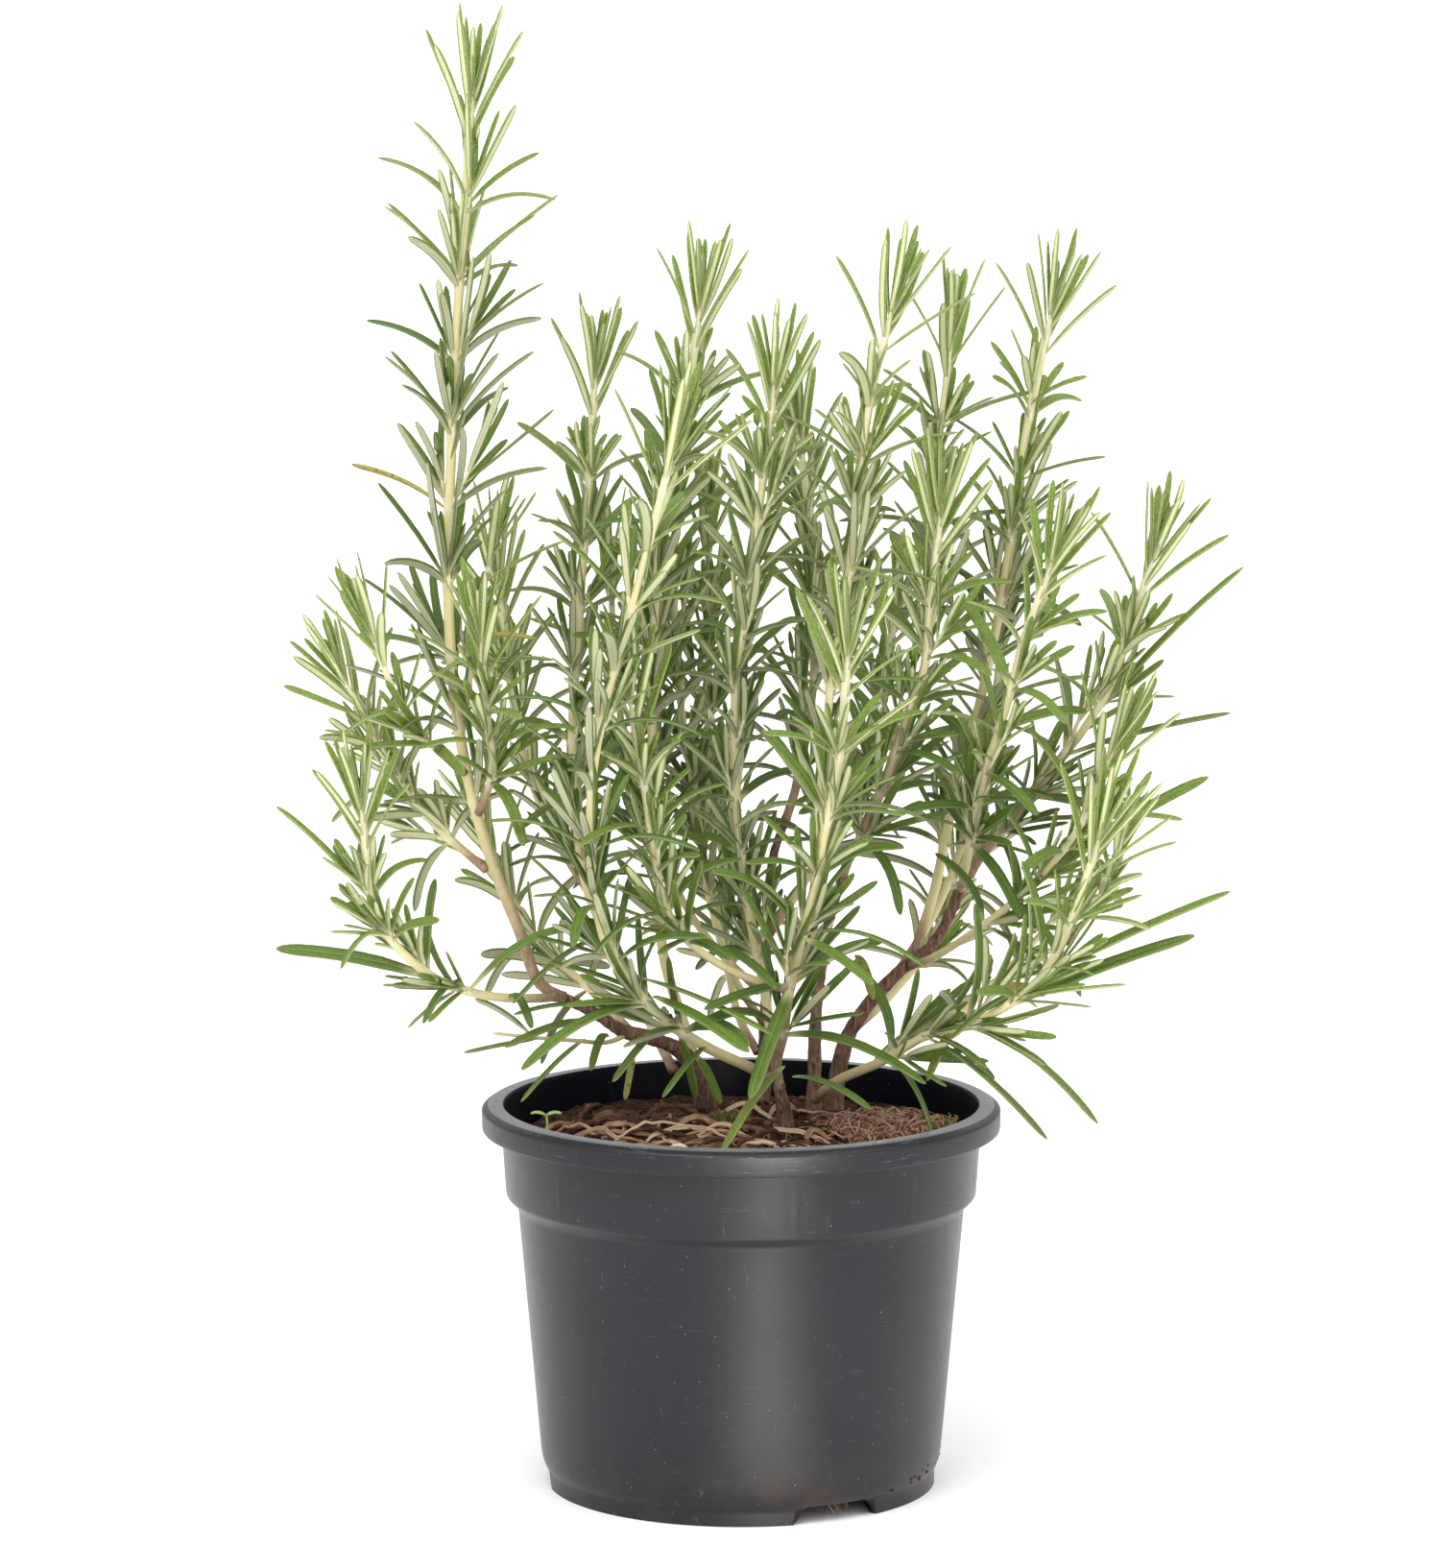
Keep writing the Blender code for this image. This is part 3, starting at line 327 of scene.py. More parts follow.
def makePotFinish(style):
    finish = Finish("blackPotPlastic", style["colour"], gloss=0.45, ior=1.46)
    cloud = finish.noise(45 * mm, 3)
    fine = finish.noise(0.5 * mm, 3, 0.6)
    mottle = finish.noise(6 * mm, 4, 0.6)
    plastic = finish.ramp(cloud, [(0.3, (0.006, 0.0062, 0.010)), (0.7, (0.010, 0.0102, 0.0145))])
    # dust: rare bright grains, more of them in some places
    grain = finish.cells(2.1 * mm)
    dustiness = finish.steps(mottle, 0.46, 0.66)
    speck = finish.steps(grain, 0.055, 0.085, 1, 0) * dustiness
    # long shallow scuffs round the rim and down the wall
    scuff = finish.steps(finish.noise(1.0 * mm, 4, 0.7, (0.12, 0.12, 2.6)), 0.62, 0.74)
    drag = finish.steps(finish.noise(1.3 * mm, 3, 0.6, (1.8, 1.8, 0.07)), 0.66, 0.8)
    height = finish.node("ShaderNodeSeparateXYZ", {}, {0: finish.place()}, "Z")
    nearRim = finish.steps(height, 0.094, 0.100)
    rimTop = finish.steps(height, 0.1036, 0.1039)
    nearGround = finish.steps(height, 0.003, 0.022, 1, 0)
    # the top of the rim is mixed towards the light grey as well: a painted highlight where it catches the
    # light, beside the real scuffs and drag marks
    scuffsAndRimSheen = scuff * (nearRim * 0.5 + 0.10) + drag * 0.10 + rimTop * 0.30
    dustAndRimSheen = finish.mix(scuffsAndRimSheen, plastic, style["dust"])
    dustAndRimSheen = finish.mix(speck * 0.75, dustAndRimSheen, style["dust"])
    soil = finish.steps(finish.noise(3.2 * mm, 5, 0.7), 0.60, 0.70) * nearGround * 0.55
    film = finish.steps(finish.noise(20 * mm, 4, 0.6), 0.40, 0.75) * nearGround * 0.18
    finish.colour(finish.mix(soil.over(film), dustAndRimSheen, style["dirt"]))
    rough = finish.steps(fine + mottle * 0.6, 0.5, 1.1, 0.30, 0.38) + scuffsAndRimSheen * 0.3 + soil * 0.4
    finish.roughness(rough + nearRim * 0.07 - rimTop * 0.22)
    finish.bump(fine * 0.35 + cloud * 0.5 + scuffsAndRimSheen * 0.4, 0.12 * mm, 0.35)
    return finish


def makeShadedInsideFinish(style):
    # the pot's inside: painted shade, darker than the outside's plastic, with real dust specks
    finish = Finish("potInside", style["inside"], gloss=0.12)
    dustiness = finish.steps(finish.noise(7 * mm, 3), 0.45, 0.6)
    speck = finish.steps(finish.cells(2.6 * mm), 0.05, 0.08, 1, 0) * dustiness
    finish.colour(finish.mix(speck * 0.45, style["inside"], style["dust"]))
    finish.bump(finish.noise(3 * mm, 3), 0.1 * mm, 0.3)
    return finish


def softCorner(before, corner, after, radius, count=4):
    # a corner of a profile as a small curve
    corner = Vector(corner)
    legs = [Vector(p) - corner for p in (before, after)]
    reach = [min(radius, leg.length * 0.45) for leg in legs]
    start = corner + legs[0].normalized() * reach[0]
    end = corner + legs[1].normalized() * reach[1]
    shares = [i / (count - 1) for i in range(count)]
    return [tuple((1 - t) ** 2 * start + 2 * t * (1 - t) * corner + t * t * end) for t in shares]


def potProfile(style):
    # from the floor up the inside, over the rim, and down the outside to the foot: (radius, height, rounding)
    wall, top, foot = style["wall"], style["height"], style["footHeight"]
    collarFoot = top - style["collarHeight"]
    bodyTop = collarFoot - style["shoulder"]
    bandFoot = top - style["rimBand"]
    rim, collar, neck = style["rimRadius"], style["collarTop"], style["collarFoot"]
    body, base, ring = style["bodyTop"], style["bodyFoot"], style["footRadius"]
    inner = ring - style["footWidth"]
    rows = [
        (0, foot + wall, 0), (base - wall - 1 * mm, foot + wall, 2.0), (body - wall, bodyTop, 0.8),
        (neck - wall, collarFoot, 0.8), (collar - wall, top - 0.9 * mm, 0.5), (collar - 0.9 * mm, top, 0.5),
        (rim - 2.1 * mm, top, 0.5), (rim, top - 1.3 * mm, 0.7), (rim - 0.15 * mm, bandFoot + 0.5 * mm, 0.4),
        (rim - 0.5 * mm, bandFoot, 0.3), (rim - 1.5 * mm, bandFoot, 0.3), (rim - 1.3 * mm, top - wall, 0.5),
        (collar, top - wall, 0.8), (neck + 0.15 * mm, collarFoot + 0.5 * mm, 0.8), (body, bodyTop, 1.0),
        (base + 0.1 * mm, foot + 2.8 * mm, 3.0), (base - 0.9 * mm, foot, 0.9), (ring, foot - 0.2 * mm, 0.4),
    ]
    profile = [rows[0][:2]]
    for before, row, after in zip(rows, rows[1:], rows[2:]):
        profile += softCorner(before[:2], row[:2], after[:2], row[2] * mm)
    wallRows = [i / 6 * foot for i in range(5, -1, -1)]
    profile += [(ring, z) for z in wallRows]
    profile += [(inner, z) for z in wallRows[::-1]]
    profile += [(inner, foot), (inner * 0.5, foot), (0, foot)]
    # long straight stretches get rows in between, so that ribs and shading have points to use
    dense = [profile[0]]
    for a, b in zip(profile, profile[1:]):
        parts = max(1, int(math.dist(a, b) // (4 * mm)))
        dense += [tuple(a[i] + (b[i] - a[i]) * (n + 1) / parts for i in (0, 1)) for n in range(parts)]
    return dense


def cutDrains(whole, style):
    # holes through the floor, one behind each gap; gives the mesh that is left
    drains = bmesh.new()
    radius, height = style["drainRadius"], style["footHeight"] + style["wall"] / 2
    for i in range(style["gaps"]):
        angle = math.radians(style["gapBearing"] + 360 / style["gaps"] * i)
        spot = Matrix.Translation(atBearing(angle, style["drainReach"], height))
        bmesh.ops.create_cone(
            drains, cap_ends=True, segments=40, radius1=radius, radius2=radius, depth=6 * mm, matrix=spot
        )
    mesh = bpy.data.meshes.new("drainCutter")
    drains.to_mesh(mesh)
    drains.free()
    cutter = bpy.data.objects.new("drainCutter", mesh)
    pot = bpy.data.objects.new("wholePot", whole)
    for piece in (cutter, pot):
        bpy.context.scene.collection.objects.link(piece)
    boolean = pot.modifiers.new("drains", "BOOLEAN")
    boolean.operation = "DIFFERENCE"
    boolean.object = cutter
    cut = bpy.data.meshes.new_from_object(pot.evaluated_get(bpy.context.evaluated_depsgraph_get()))
    for piece in (cutter, pot):
        bpy.data.objects.remove(piece, do_unlink=True)
    return cut


def makePot(style):
    profile = potProfile(style)
    steps = style["steps"]
    bearings = [360 * j / steps for j in range(steps)]
    ribFoot, ribTop = (style["height"] - style["collarHeight"] + rise for rise in style["mouldSpan"])
    ribSteps = {round(b % 360 * steps / 360) % steps for b in style["mouldLines"]}
    notch = style["footHeight"] - 0.4 * mm
    turn = 360 / style["gaps"]
    points = [(0, 0, profile[0][1])]
    for r, z in profile[1:-1]:
        ribbed = r > style["collarFoot"] - 0.2 * mm and ribFoot < z < ribTop
        for j, bearing in enumerate(bearings):
            radius, height = r, z
            if ribbed and j in ribSteps:
                radius += style["mouldRise"]
            if z < notch:
                # the gaps are wider at the ground than at their tops
                off = abs((bearing - style["gapBearing"] + turn / 2) % turn - turn / 2)
                if off < style["gapArc"] / 2 * (1.4 - 0.4 * z / notch):
                    height = notch
            points.append(atBearing(math.radians(bearing), radius, height))
    points.append((0, 0, profile[-1][1]))
    last = len(points) - 1
    faces = []
    rows = len(profile) - 2
    for j in range(steps):
        k = (j + 1) % steps
        faces.append((0, 1 + j, 1 + k))
        for i in range(rows - 1):
            a, b = 1 + i * steps, 1 + (i + 1) * steps
            faces.append((a + j, b + j, b + k, a + k))
        faces.append((1 + (rows - 1) * steps + j, last, 1 + (rows - 1) * steps + k))
    mesh = bpy.data.meshes.new("nurseryPot")
    mesh.from_pydata(points, [], faces)
    cut = cutDrains(mesh, style)
    cut.materials.clear()
    for finish in (makePotFinish(style), makeShadedInsideFinish(style)):
        cut.materials.append(finish.material)
    # faces inside the pot above its floor take the darker finish, which is painted shade
    inside, floor = style["collarTop"] - 0.7 * mm, style["footHeight"] + 0.5 * style["wall"]
    for face in cut.polygons:
        spot, way = face.center, face.normal
        if spot.xy.length < inside and spot.z > floor:
            face.material_index = int(way.xy.dot(spot.xy) < 0 or way.z > 0.9)
    cut.shade_smooth()
    cut.set_sharp_from_angle(angle=math.radians(50))
    standing("nurseryPot", cut, ["pot"])


makePot(pot)
print("pot made")


# peat and what lies on it
peat = {
    "depth": 10 * mm,
    "dome": 3 * mm,
    "edge": 61.8 * mm,
    "rings": 84,
    "steps": 220,
    "lump": 1.4 * mm,
    "crumbs": 900,
    "crumbSizes": (0.45, 0.6, 0.6, 0.8, 1.1, 1.6),
    "fibres": 260,
    "fibreLength": (5, 20),
    "fibreRadius": (0.10, 0.24),
    "fibreStep": 1.3 * mm,
    "fibreRise": 0.3 * mm,
    "dice": 5,
}


def peatHeight(x, y):  # the smooth dome that the frame's root ball has
    reach = min(1.0, math.hypot(x, y) / pot["collarFoot"])
    return pot["height"] - peat["depth"] + peat["dome"] * (1 + math.cos(math.pi * reach)) / 2


def peatTop(x, y):  # the lumpy surface
    p = Vector((x, y, 0)) / mm
    lumps = noise.noise(p / 9) * 0.9 + noise.noise(p / 3.1) * 0.55 + abs(noise.noise(p / 1.4)) * 0.5
    return peatHeight(x, y) + peat["lump"] * lumps


def makePeatFinish():
    finish = Finish("peat", (0.05, 0.028, 0.016), 0.95, 0.2)
    coarse = finish.noise(4 * mm, 5, 0.65)
    fine = finish.noise(0.6 * mm, 4, 0.7)
    strands = finish.noise(0.8 * mm, 3, 0.6, (1, 0.25, 1), 1.5)
    soil = finish.ramp(
        coarse, [(0.32, (0.014, 0.008, 0.006)), (0.50, (0.050, 0.024, 0.015)), (0.72, (0.140, 0.066, 0.040))]
    )
    soil = finish.mix(finish.steps(fine, 0.56, 0.74) * 0.5, soil, (0.16, 0.078, 0.044))
    finish.colour(finish.mix(finish.steps(strands, 0.64, 0.74) * 0.4, soil, (0.17, 0.095, 0.05)))
    finish.bump(coarse * 0.6 + fine * 0.6 + strands * 0.3, 0.7 * mm, 0.8)
    return finish


def makeCrumbFinish():
    finish = Finish("peatCrumbs", (0.08, 0.045, 0.025), 0.95, 0.2)
    fine = finish.noise(0.5 * mm, 4, 0.7)
    stops = [(0.0, (0.012, 0.007, 0.005)), (0.5, (0.060, 0.026, 0.017)), (0.82, (0.17, 0.080, 0.046)),
             (1.0, (0.42, 0.25, 0.15))]
    crumb = finish.ramp(finish.value("tone"), stops)
    finish.colour(finish.mix(finish.steps(fine, 0.45, 0.7) * 0.5, crumb, (0.10, 0.055, 0.032)))
    finish.bump(fine, 0.4 * mm, 0.8)
    return finish


crumbFinish = makeCrumbFinish()


def makePeat(style):
    angles = np.linspace(0, 2 * math.pi, style["steps"], endpoint=False)
    rings = [[(0.2 * mm * math.cos(a), 0.2 * mm * math.sin(a), peatTop(0, 0)) for a in angles]]
    for i in range(style["rings"]):
        r = style["edge"] * (i + 1) / style["rings"]
        spots = [(r * math.cos(a), r * math.sin(a)) for a in angles]
        rings.append([(x, y, peatTop(x, y)) for x, y in spots])
    collarFoot = pot["height"] - pot["collarHeight"]
    floor = pot["footHeight"] + pot["wall"] + gap
    side = [
        (style["edge"], collarFoot), (pot["bodyTop"] - pot["wall"] - gap, collarFoot - pot["shoulder"]),
        (pot["bodyFoot"] - pot["wall"] - 2 * gap, floor + 3 * mm), (pot["bodyFoot"] - 4 * mm, floor),
        (pot["bodyFoot"] * 0.5, floor), (2 * mm, floor),
    ]
    rings += [[(r * math.cos(a), r * math.sin(a), z) for a in angles] for r, z in side]
    heap = Heap()
    heap.addTube(np.array(rings)[:, ::-1])
    heap.piece("peatBall", [makePeatFinish()], ["root_ball"], "peat")


def addCrumb(heap, dice, radius, place, tones=(0, 1)):
    # one small angular crumb, a little flattened
    bm = bmesh.new()
    bmesh.ops.create_icosphere(bm, subdivisions=1, radius=radius)
    shift = Vector((dice.random(), dice.random(), dice.random())) * 40
    spin = Matrix.Rotation(dice.uniform(0, 6.3), 3, "Z") @ Matrix.Rotation(dice.uniform(0, 6.3), 3, "X")
    for v in bm.verts:
        v.co *= 1 + 0.55 * noise.noise(v.co / radius * 0.9 + shift)
        v.co = spin @ v.co
        v.co.z *= 0.7
    points = np.array([tuple(v.co) for v in bm.verts])
    faces = [[v.index for v in f.verts] for f in bm.faces]
    bm.free()
    heap.addLump(points + place, faces, tone=dice.uniform(*tones))


def onPeat(dice, reach):
    r = reach * math.sqrt(dice.random())
    a = dice.uniform(0, 2 * math.pi)
    return r * math.cos(a), r * math.sin(a)


def makeCrumbs(style):
    dice = random.Random(style["dice"])
    heap = Heap()
    for _ in range(style["crumbs"]):
        radius = dice.choice(style["crumbSizes"]) * mm * dice.uniform(0.8, 1.2)
        x, y = onPeat(dice, style["edge"] - 2.5 * mm)
        addCrumb(heap, dice, radius, (x, y, peatTop(x, y) + radius * 0.25))
    heap.piece("peatCrumbs", [crumbFinish], slot="peat")


def addStrand(heap, dice, x, y, length, radius, tone):
    # a thin root or fibre that wanders over the peat
    heading = dice.uniform(0, 2 * math.pi)
    bend = dice.uniform(-0.25, 0.25)
    count = max(6, int(length / peat["fibreStep"]))
    step = length / count
    path = []
    lift = dice.uniform(0, 2 * math.pi)
    for i in range(count + 1):
        if math.hypot(x, y) > peat["edge"] - 1.2 * mm:
            break
        rise = peat["fibreRise"] * (1 + math.sin(lift + i * 0.7))
        path.append((x, y, peatTop(x, y) + radius + rise))
        x += step * math.cos(heading)
        y += step * math.sin(heading)
        heading += bend + dice.uniform(-0.22, 0.22)
    if len(path) > 3:
        thinner = 1 - 0.6 * np.linspace(0, 1, len(path)) ** 2
        heap.addTube(tubeRings(path, radius * thinner, 6), tone=tone)


def makeFibres(style):
    dice = random.Random(style["dice"] + 1)
    heap = Heap()
    for _ in range(style["fibres"]):
        x, y = onPeat(dice, style["edge"] - 3 * mm)
        length, radius = (dice.uniform(*style[key]) * mm for key in ("fibreLength", "fibreRadius"))
        addStrand(heap, dice, x, y, length, radius, dice.uniform(0.3, 1))
    heap.piece("peatFibres", [crumbFinish], slot="peat")


makePeat(peat)
makeCrumbs(peat)
makeFibres(peat)
print("peat made")


# the plant's skeleton: the same stems and leaves that the frame's solids have
leafForm = {
    "width": 3.3 * mm,
    "thickness": 1.5 * mm,
    "mainBand": 2.6 * mm,  # height of the stem band that a leaf pair grows from
    "tipBand": 1.5 * mm,
    "tipPairs": 3,
    "tipSpacing": 3.6 * mm,
    "tipReach": 9 * mm,  # stem hidden inside the bunch of leaves at its tip
    "clearance": 0.45 * mm,
    "straightStep": 13 * mm,  # longest stretch of stem without a ring
    "slope": (40, 26),  # degrees from the stem, and what age adds
    "tipSlope": (34, 7.5),  # the same at the tip, and what each younger pair takes off
    "dice": 11,
}

# woody stems: points, then the radius at each end
wood = {
    "left_wood": ([(-6, 28, -19), (-9, 28, -8), (-12, 24, 3), (-17, 18, 11), (-24, 13, 15), (-32, 8, 18),
                   (-40, 4, 24), (-49, 0, 29)], 3.1, 1.4),
    "front_wood": ([(13, -1, -18), (12, -2, -6), (10, -4, 6)], 2.4, 1.7),
    "middle_wood": ([(20, 19, -18), (20, 20, 1), (21, 22, 27), (25, 22, 50), (28, 19, 60)], 2.3, 1.2),
    "right_wood": ([(24, 35, -18), (31, 38, 14), (43, 36, 29), (52, 33, 37), (60, 28, 53), (63, 26, 59)],
                   2.8, 1.1),
    "back_wood": ([(6, 46, -18), (7, 50, 20), (7, 52, 41), (9, 55, 58), (13, 58, 70)], 2.1, 1.1),
}

# shoots: name, wood it carries on from, points, radius at base and tip, bare length at the base,
# spacing of the leaf pairs, leaf length, bearing of the first pair in degrees
shootRows = [
    ("front_right", "front_wood", [(11, -12, 20), (13, -22, 36), (16, -29, 50), (19, -34, 62), (21, -38, 76),
                                   (24, -42, 90), (26, -45, 106), (27, -47, 119)], 1.7, 1.2, 18, 16, 30, 35),
    ("left_tall", "left_wood", [(-60, -5, 49), (-69, -8, 74), (-75, -8, 101), (-78, -5, 138), (-77, 0, 178),
                                (-75, 5, 219), (-72, 8, 261)], 1.8, 1.3, 60, 20.5, 29, 50),
    ("left_low", None, [(-48, -1, 29), (-58, -10, 30), (-71, -19, 33), (-85, -27, 41), (-94, -31, 52),
                        (-98, -33, 64), (-99, -34, 77)], 1.5, 1.1, 28, 12, 25, 20),
    ("left_outer", None, [(-69, -7, 65), (-82, 2, 75), (-90, 6, 83), (-97, 10, 95), (-103, 12, 106)],
     1.3, 1.0, 12, 11, 24, 70),
    ("left_fan", None, [(-72, -8, 89), (-84, -20, 102), (-91, -24, 113), (-95, -26, 124)],
     1.2, 0.9, 12, 11, 24, 10),
    ("left_spur", None, [(-75, -8, 101), (-73, -1, 110), (-72, 6, 124), (-70, 10, 135), (-68, 12, 143)],
     1.0, 0.8, 16, 14, 22, 80),
    ("left_inner", None, [(-71, -8, 77), (-66, -18, 93), (-67, -23, 108), (-68, -26, 121)],
     1.2, 0.9, 10, 11, 25, 35),
    ("crown_left", None, [(-19, 21, 6), (-24, 32, 14), (-32, 38, 30), (-42, 40, 51), (-45, 38, 72),
                          (-46, 35, 97), (-44, 32, 129), (-41, 30, 168), (-40, 30, 186)],
     1.6, 1.2, 64, 17, 26, 60),
    ("crown_mid_left", None, [(-10, 27, -5), (-14, 34, 10), (-21, 36, 33), (-23, 34, 60), (-24, 28, 113),
                              (-22, 24, 147), (-19, 22, 166), (-15, 20, 185), (-12, 20, 205)],
     1.7, 1.2, 70, 17, 27, 30),
    ("front_left", None, [(10, -4, 6), (3, -5, 10), (-9, -12, 17), (-21, -22, 27), (-30, -30, 38),
                          (-36, -35, 50), (-39, -38, 68), (-39, -40, 94), (-36, -41, 111), (-30, -41, 133),
                          (-25, -40, 152), (-20, -38, 171)], 1.7, 1.2, 30, 16, 28, 55),
    ("crown_middle", None, [(10, -3, 6), (8, 3, 18), (6, 7, 31), (3, 6, 46), (0, 4, 67), (-2, 3, 99),
                            (-1, 4, 117), (3, 6, 146), (6, 8, 169), (8, 10, 185)], 1.5, 1.1, 32, 15, 26, 45),
    ("back_mid_left", None, [(7, 49, 12), (-2, 38, 28), (-8, 35, 48), (-12, 37, 75), (-16, 38, 100),
                             (-18, 38, 128), (-18, 40, 149)], 1.3, 1.0, 40, 15, 25, 25),
    ("back_middle", None, [(7, 52, 38), (-3, 55, 54), (-8, 56, 73), (-9, 56, 99), (-9, 54, 126),
                           (-9, 52, 145)], 1.2, 0.9, 26, 15, 25, 75),
    ("front_inner", None, [(12, -20, 34), (0, -20, 38), (-10, -22, 44), (-19, -28, 55), (-23, -31, 72),
                           (-26, -32, 93), (-28, -32, 105)], 1.4, 1.0, 28, 13, 26, 15),
    ("crown_right", None, [(19, -33, 62), (20, -24, 73), (22, -16, 99), (24, -12, 116), (27, -8, 132),
                           (29, -5, 148), (31, -2, 163), (33, 0, 181), (35, 2, 193), (38, 4, 205)],
     1.4, 1.1, 22, 15, 28, 65),
    ("right_inner", "middle_wood", [(31, 15, 67), (37, 8, 82), (44, 0, 104), (49, -4, 120), (50, -6, 135),
                                    (52, -6, 152)], 1.5, 1.1, 12, 15, 27, 40),
    ("right_upper", None, [(49, -3, 119), (52, 16, 134), (53, 32, 158), (54, 34, 178), (56, 34, 196)],
     1.2, 1.0, 18, 15, 26, 70),
    ("right_tall", None, [(47, 35, 33), (53, 42, 50), (58, 40, 75), (65, 36, 103), (70, 33, 128),
                          (74, 30, 155), (77, 28, 178), (82, 27, 203)], 1.6, 1.2, 30, 18, 27, 55),
    ("right_front", None, [(60, 28, 53), (61, 12, 64), (63, -2, 80), (65, -10, 92), (70, -18, 109),
                           (74, -24, 128), (79, -27, 142)], 1.4, 1.0, 24, 14, 26, 30),
    ("right_outer", "right_wood", [(75, 16, 76), (82, 10, 87), (92, 4, 101), (99, 0, 114), (103, -2, 127),
                                   (107, -4, 140)], 1.5, 1.1, 14, 16, 27, 20),
    ("right_side", None, [(46, 35, 31), (54, 20, 37), (62, 11, 44), (74, 2, 55), (84, -6, 67), (91, -10, 78),
                          (96, -12, 91)], 1.3, 1.0, 34, 12, 27, 80),
    ("right_low", None, [(20, 19, -3), (26, 4, 5), (39, -12, 14), (49, -22, 22), (61, -30, 27), (71, -35, 33),
                         (81, -40, 44), (87, -43, 58), (91, -45, 71)], 1.6, 1.1, 40, 13, 29, 45),
    ("right_tip", None, [(84, -41, 49), (93, -36, 59), (98, -33, 71)], 0.9, 0.8, 8, 9, 18, 60),
    ("right_trail", None, [(49, -21, 22), (58, -12, 26), (66, -2, 31), (76, 8, 39), (86, 14, 49)],
     1.1, 0.9, 24, 14, 20, 10),
    ("rear_crown", "back_wood", [(18, 63, 90), (21, 66, 115), (20, 66, 145), (17, 64, 168)],
     1.4, 1.0, 10, 15, 26, 50),
    ("rear_left", None, [(7, 50, 20), (-10, 60, 36), (-26, 67, 66), (-34, 70, 100), (-36, 70, 130)],
     1.4, 1.0, 34, 15, 26, 15),
    ("rear_left_side", None, [(-40, 40, 48), (-53, 50, 68), (-62, 56, 96), (-66, 58, 126)],
     1.3, 1.0, 16, 14, 26, 60),
    ("rear_mid_right", None, [(7, 52, 36), (20, 64, 54), (34, 72, 84), (42, 74, 118)],
     1.4, 1.0, 26, 14, 26, 35),
    ("rear_right", None, [(43, 36, 29), (55, 52, 46), (66, 62, 74), (71, 67, 104), (74, 68, 130)],
     1.4, 1.0, 28, 14, 26, 70),
    ("rear_low", None, [(6, 47, 3), (0, 58, 12), (-3, 70, 22), (-5, 78, 38), (-5, 80, 56)],
     1.4, 1.0, 28, 12, 24, 40),
    ("rear_low_right", None, [(30, 38, 12), (42, 55, 20), (54, 66, 34), (60, 71, 54)],
     1.3, 1.0, 30, 12, 24, 20),
    ("rear_low_left", None, [(-30, 13, 17), (-42, 32, 26), (-58, 48, 38), (-68, 54, 58)],
     1.4, 1.0, 24, 12, 25, 75),
]

# leaves that droop or cross the front: shoot, distance along it, tip, width and sag, in millimetres
singleRows = [
    ("left_low", 46, (-121, -24, 46), 3.8, 1), ("left_low", 50, (-105, -36, 45), 3.4, 5),
    ("left_low", 24, (-84, -30, 29), 3.4, 5), ("left_low", 14, (-40, -20, 51), 2.6, 6),
    ("left_low", 72, (-121, -28, 84), 2.4, 2), ("front_right", 12, (0, -28, -8), 4.4, 3),
    ("front_right", 20, (-8, -38, 30), 4.4, 4), ("front_right", 22, (46, -34, 14), 4.4, 4),
    ("front_right", 18, (6, -42, 11), 4.4, 3), ("front_right", 52, (46, -54, 48), 3.6, 4),
    ("front_right", 56, (-6, -50, 71), 4.0, 4), ("front_left", 46, (-56, -40, 19), 4.0, 4),
    ("front_left", 36, (0, -46, 25), 4.0, 3), ("front_left", 58, (-54, -46, 73), 3.8, 3),
    ("front_left", 10, (-13, -10, 5), 3.2, 2), ("right_low", 58, (78, -52, 3), 4.2, 3),
    ("right_low", 62, (92, -40, 5), 3.4, 4), ("right_low", 50, (46, -36, 11), 4.0, 2),
    ("right_low", 56, (82, -32, 21), 3.6, 4), ("right_low", 86, (116, -38, 51), 3.8, 1),
    ("right_low", 98, (125, -40, 63), 3.6, 1), ("right_side", 60, (122, -4, 88), 3.4, 2),
    ("right_outer", 44, (128, -2, 106), 3.4, 1), ("right_outer", 66, (131, -6, 144), 2.4, 2),
    ("right_side", 44, (90, -10, 34), 3.4, 4), ("right_trail", 12, (38, -8, 14), 3.6, 1),
]

# places that a leaf tries in turn: swing round the stem and lift in degrees, and share of its length
leafTries = [
    (0, 0, 1), (14, 0, 1), (-14, 0, 1), (0, 9, 1), (0, -9, 0.95), (26, 0, 1), (-26, 0, 1), (12, 12, 0.9),
    (-12, 12, 0.9), (38, 0, 0.9), (-38, 0, 0.9), (0, 20, 0.8), (0, 0, 0.66), (24, 8, 0.66), (-24, 8, 0.66),
    (0, 0, 0.48),
]


def fromRim(point):
    x, y, height = point
    return Vector((x * mm, y * mm, pot["height"] + height * mm))


def smoothPath(points, step=1.0 * mm):
    gaps = [(b - a).length for a, b in zip(points, points[1:])]
    slopes = [(b - a) / reach for a, b, reach in zip(points, points[1:], gaps)]
    turns = [slopes[0]]
    for i in range(1, len(points) - 1):
        turns.append((slopes[i - 1] * gaps[i] + slopes[i] * gaps[i - 1]) / (gaps[i - 1] + gaps[i]))
    turns.append(slopes[-1])
    path = []
    for i, reach in enumerate(gaps):
        count = max(2, round(reach / step))
        leaving = points[i] + turns[i] * reach / 3
        arriving = points[i + 1] - turns[i + 1] * reach / 3
        path += list(interpolate_bezier(points[i], leaving, arriving, points[i + 1], count + 1))[:-1]
    path.append(points[-1].copy())
    return path


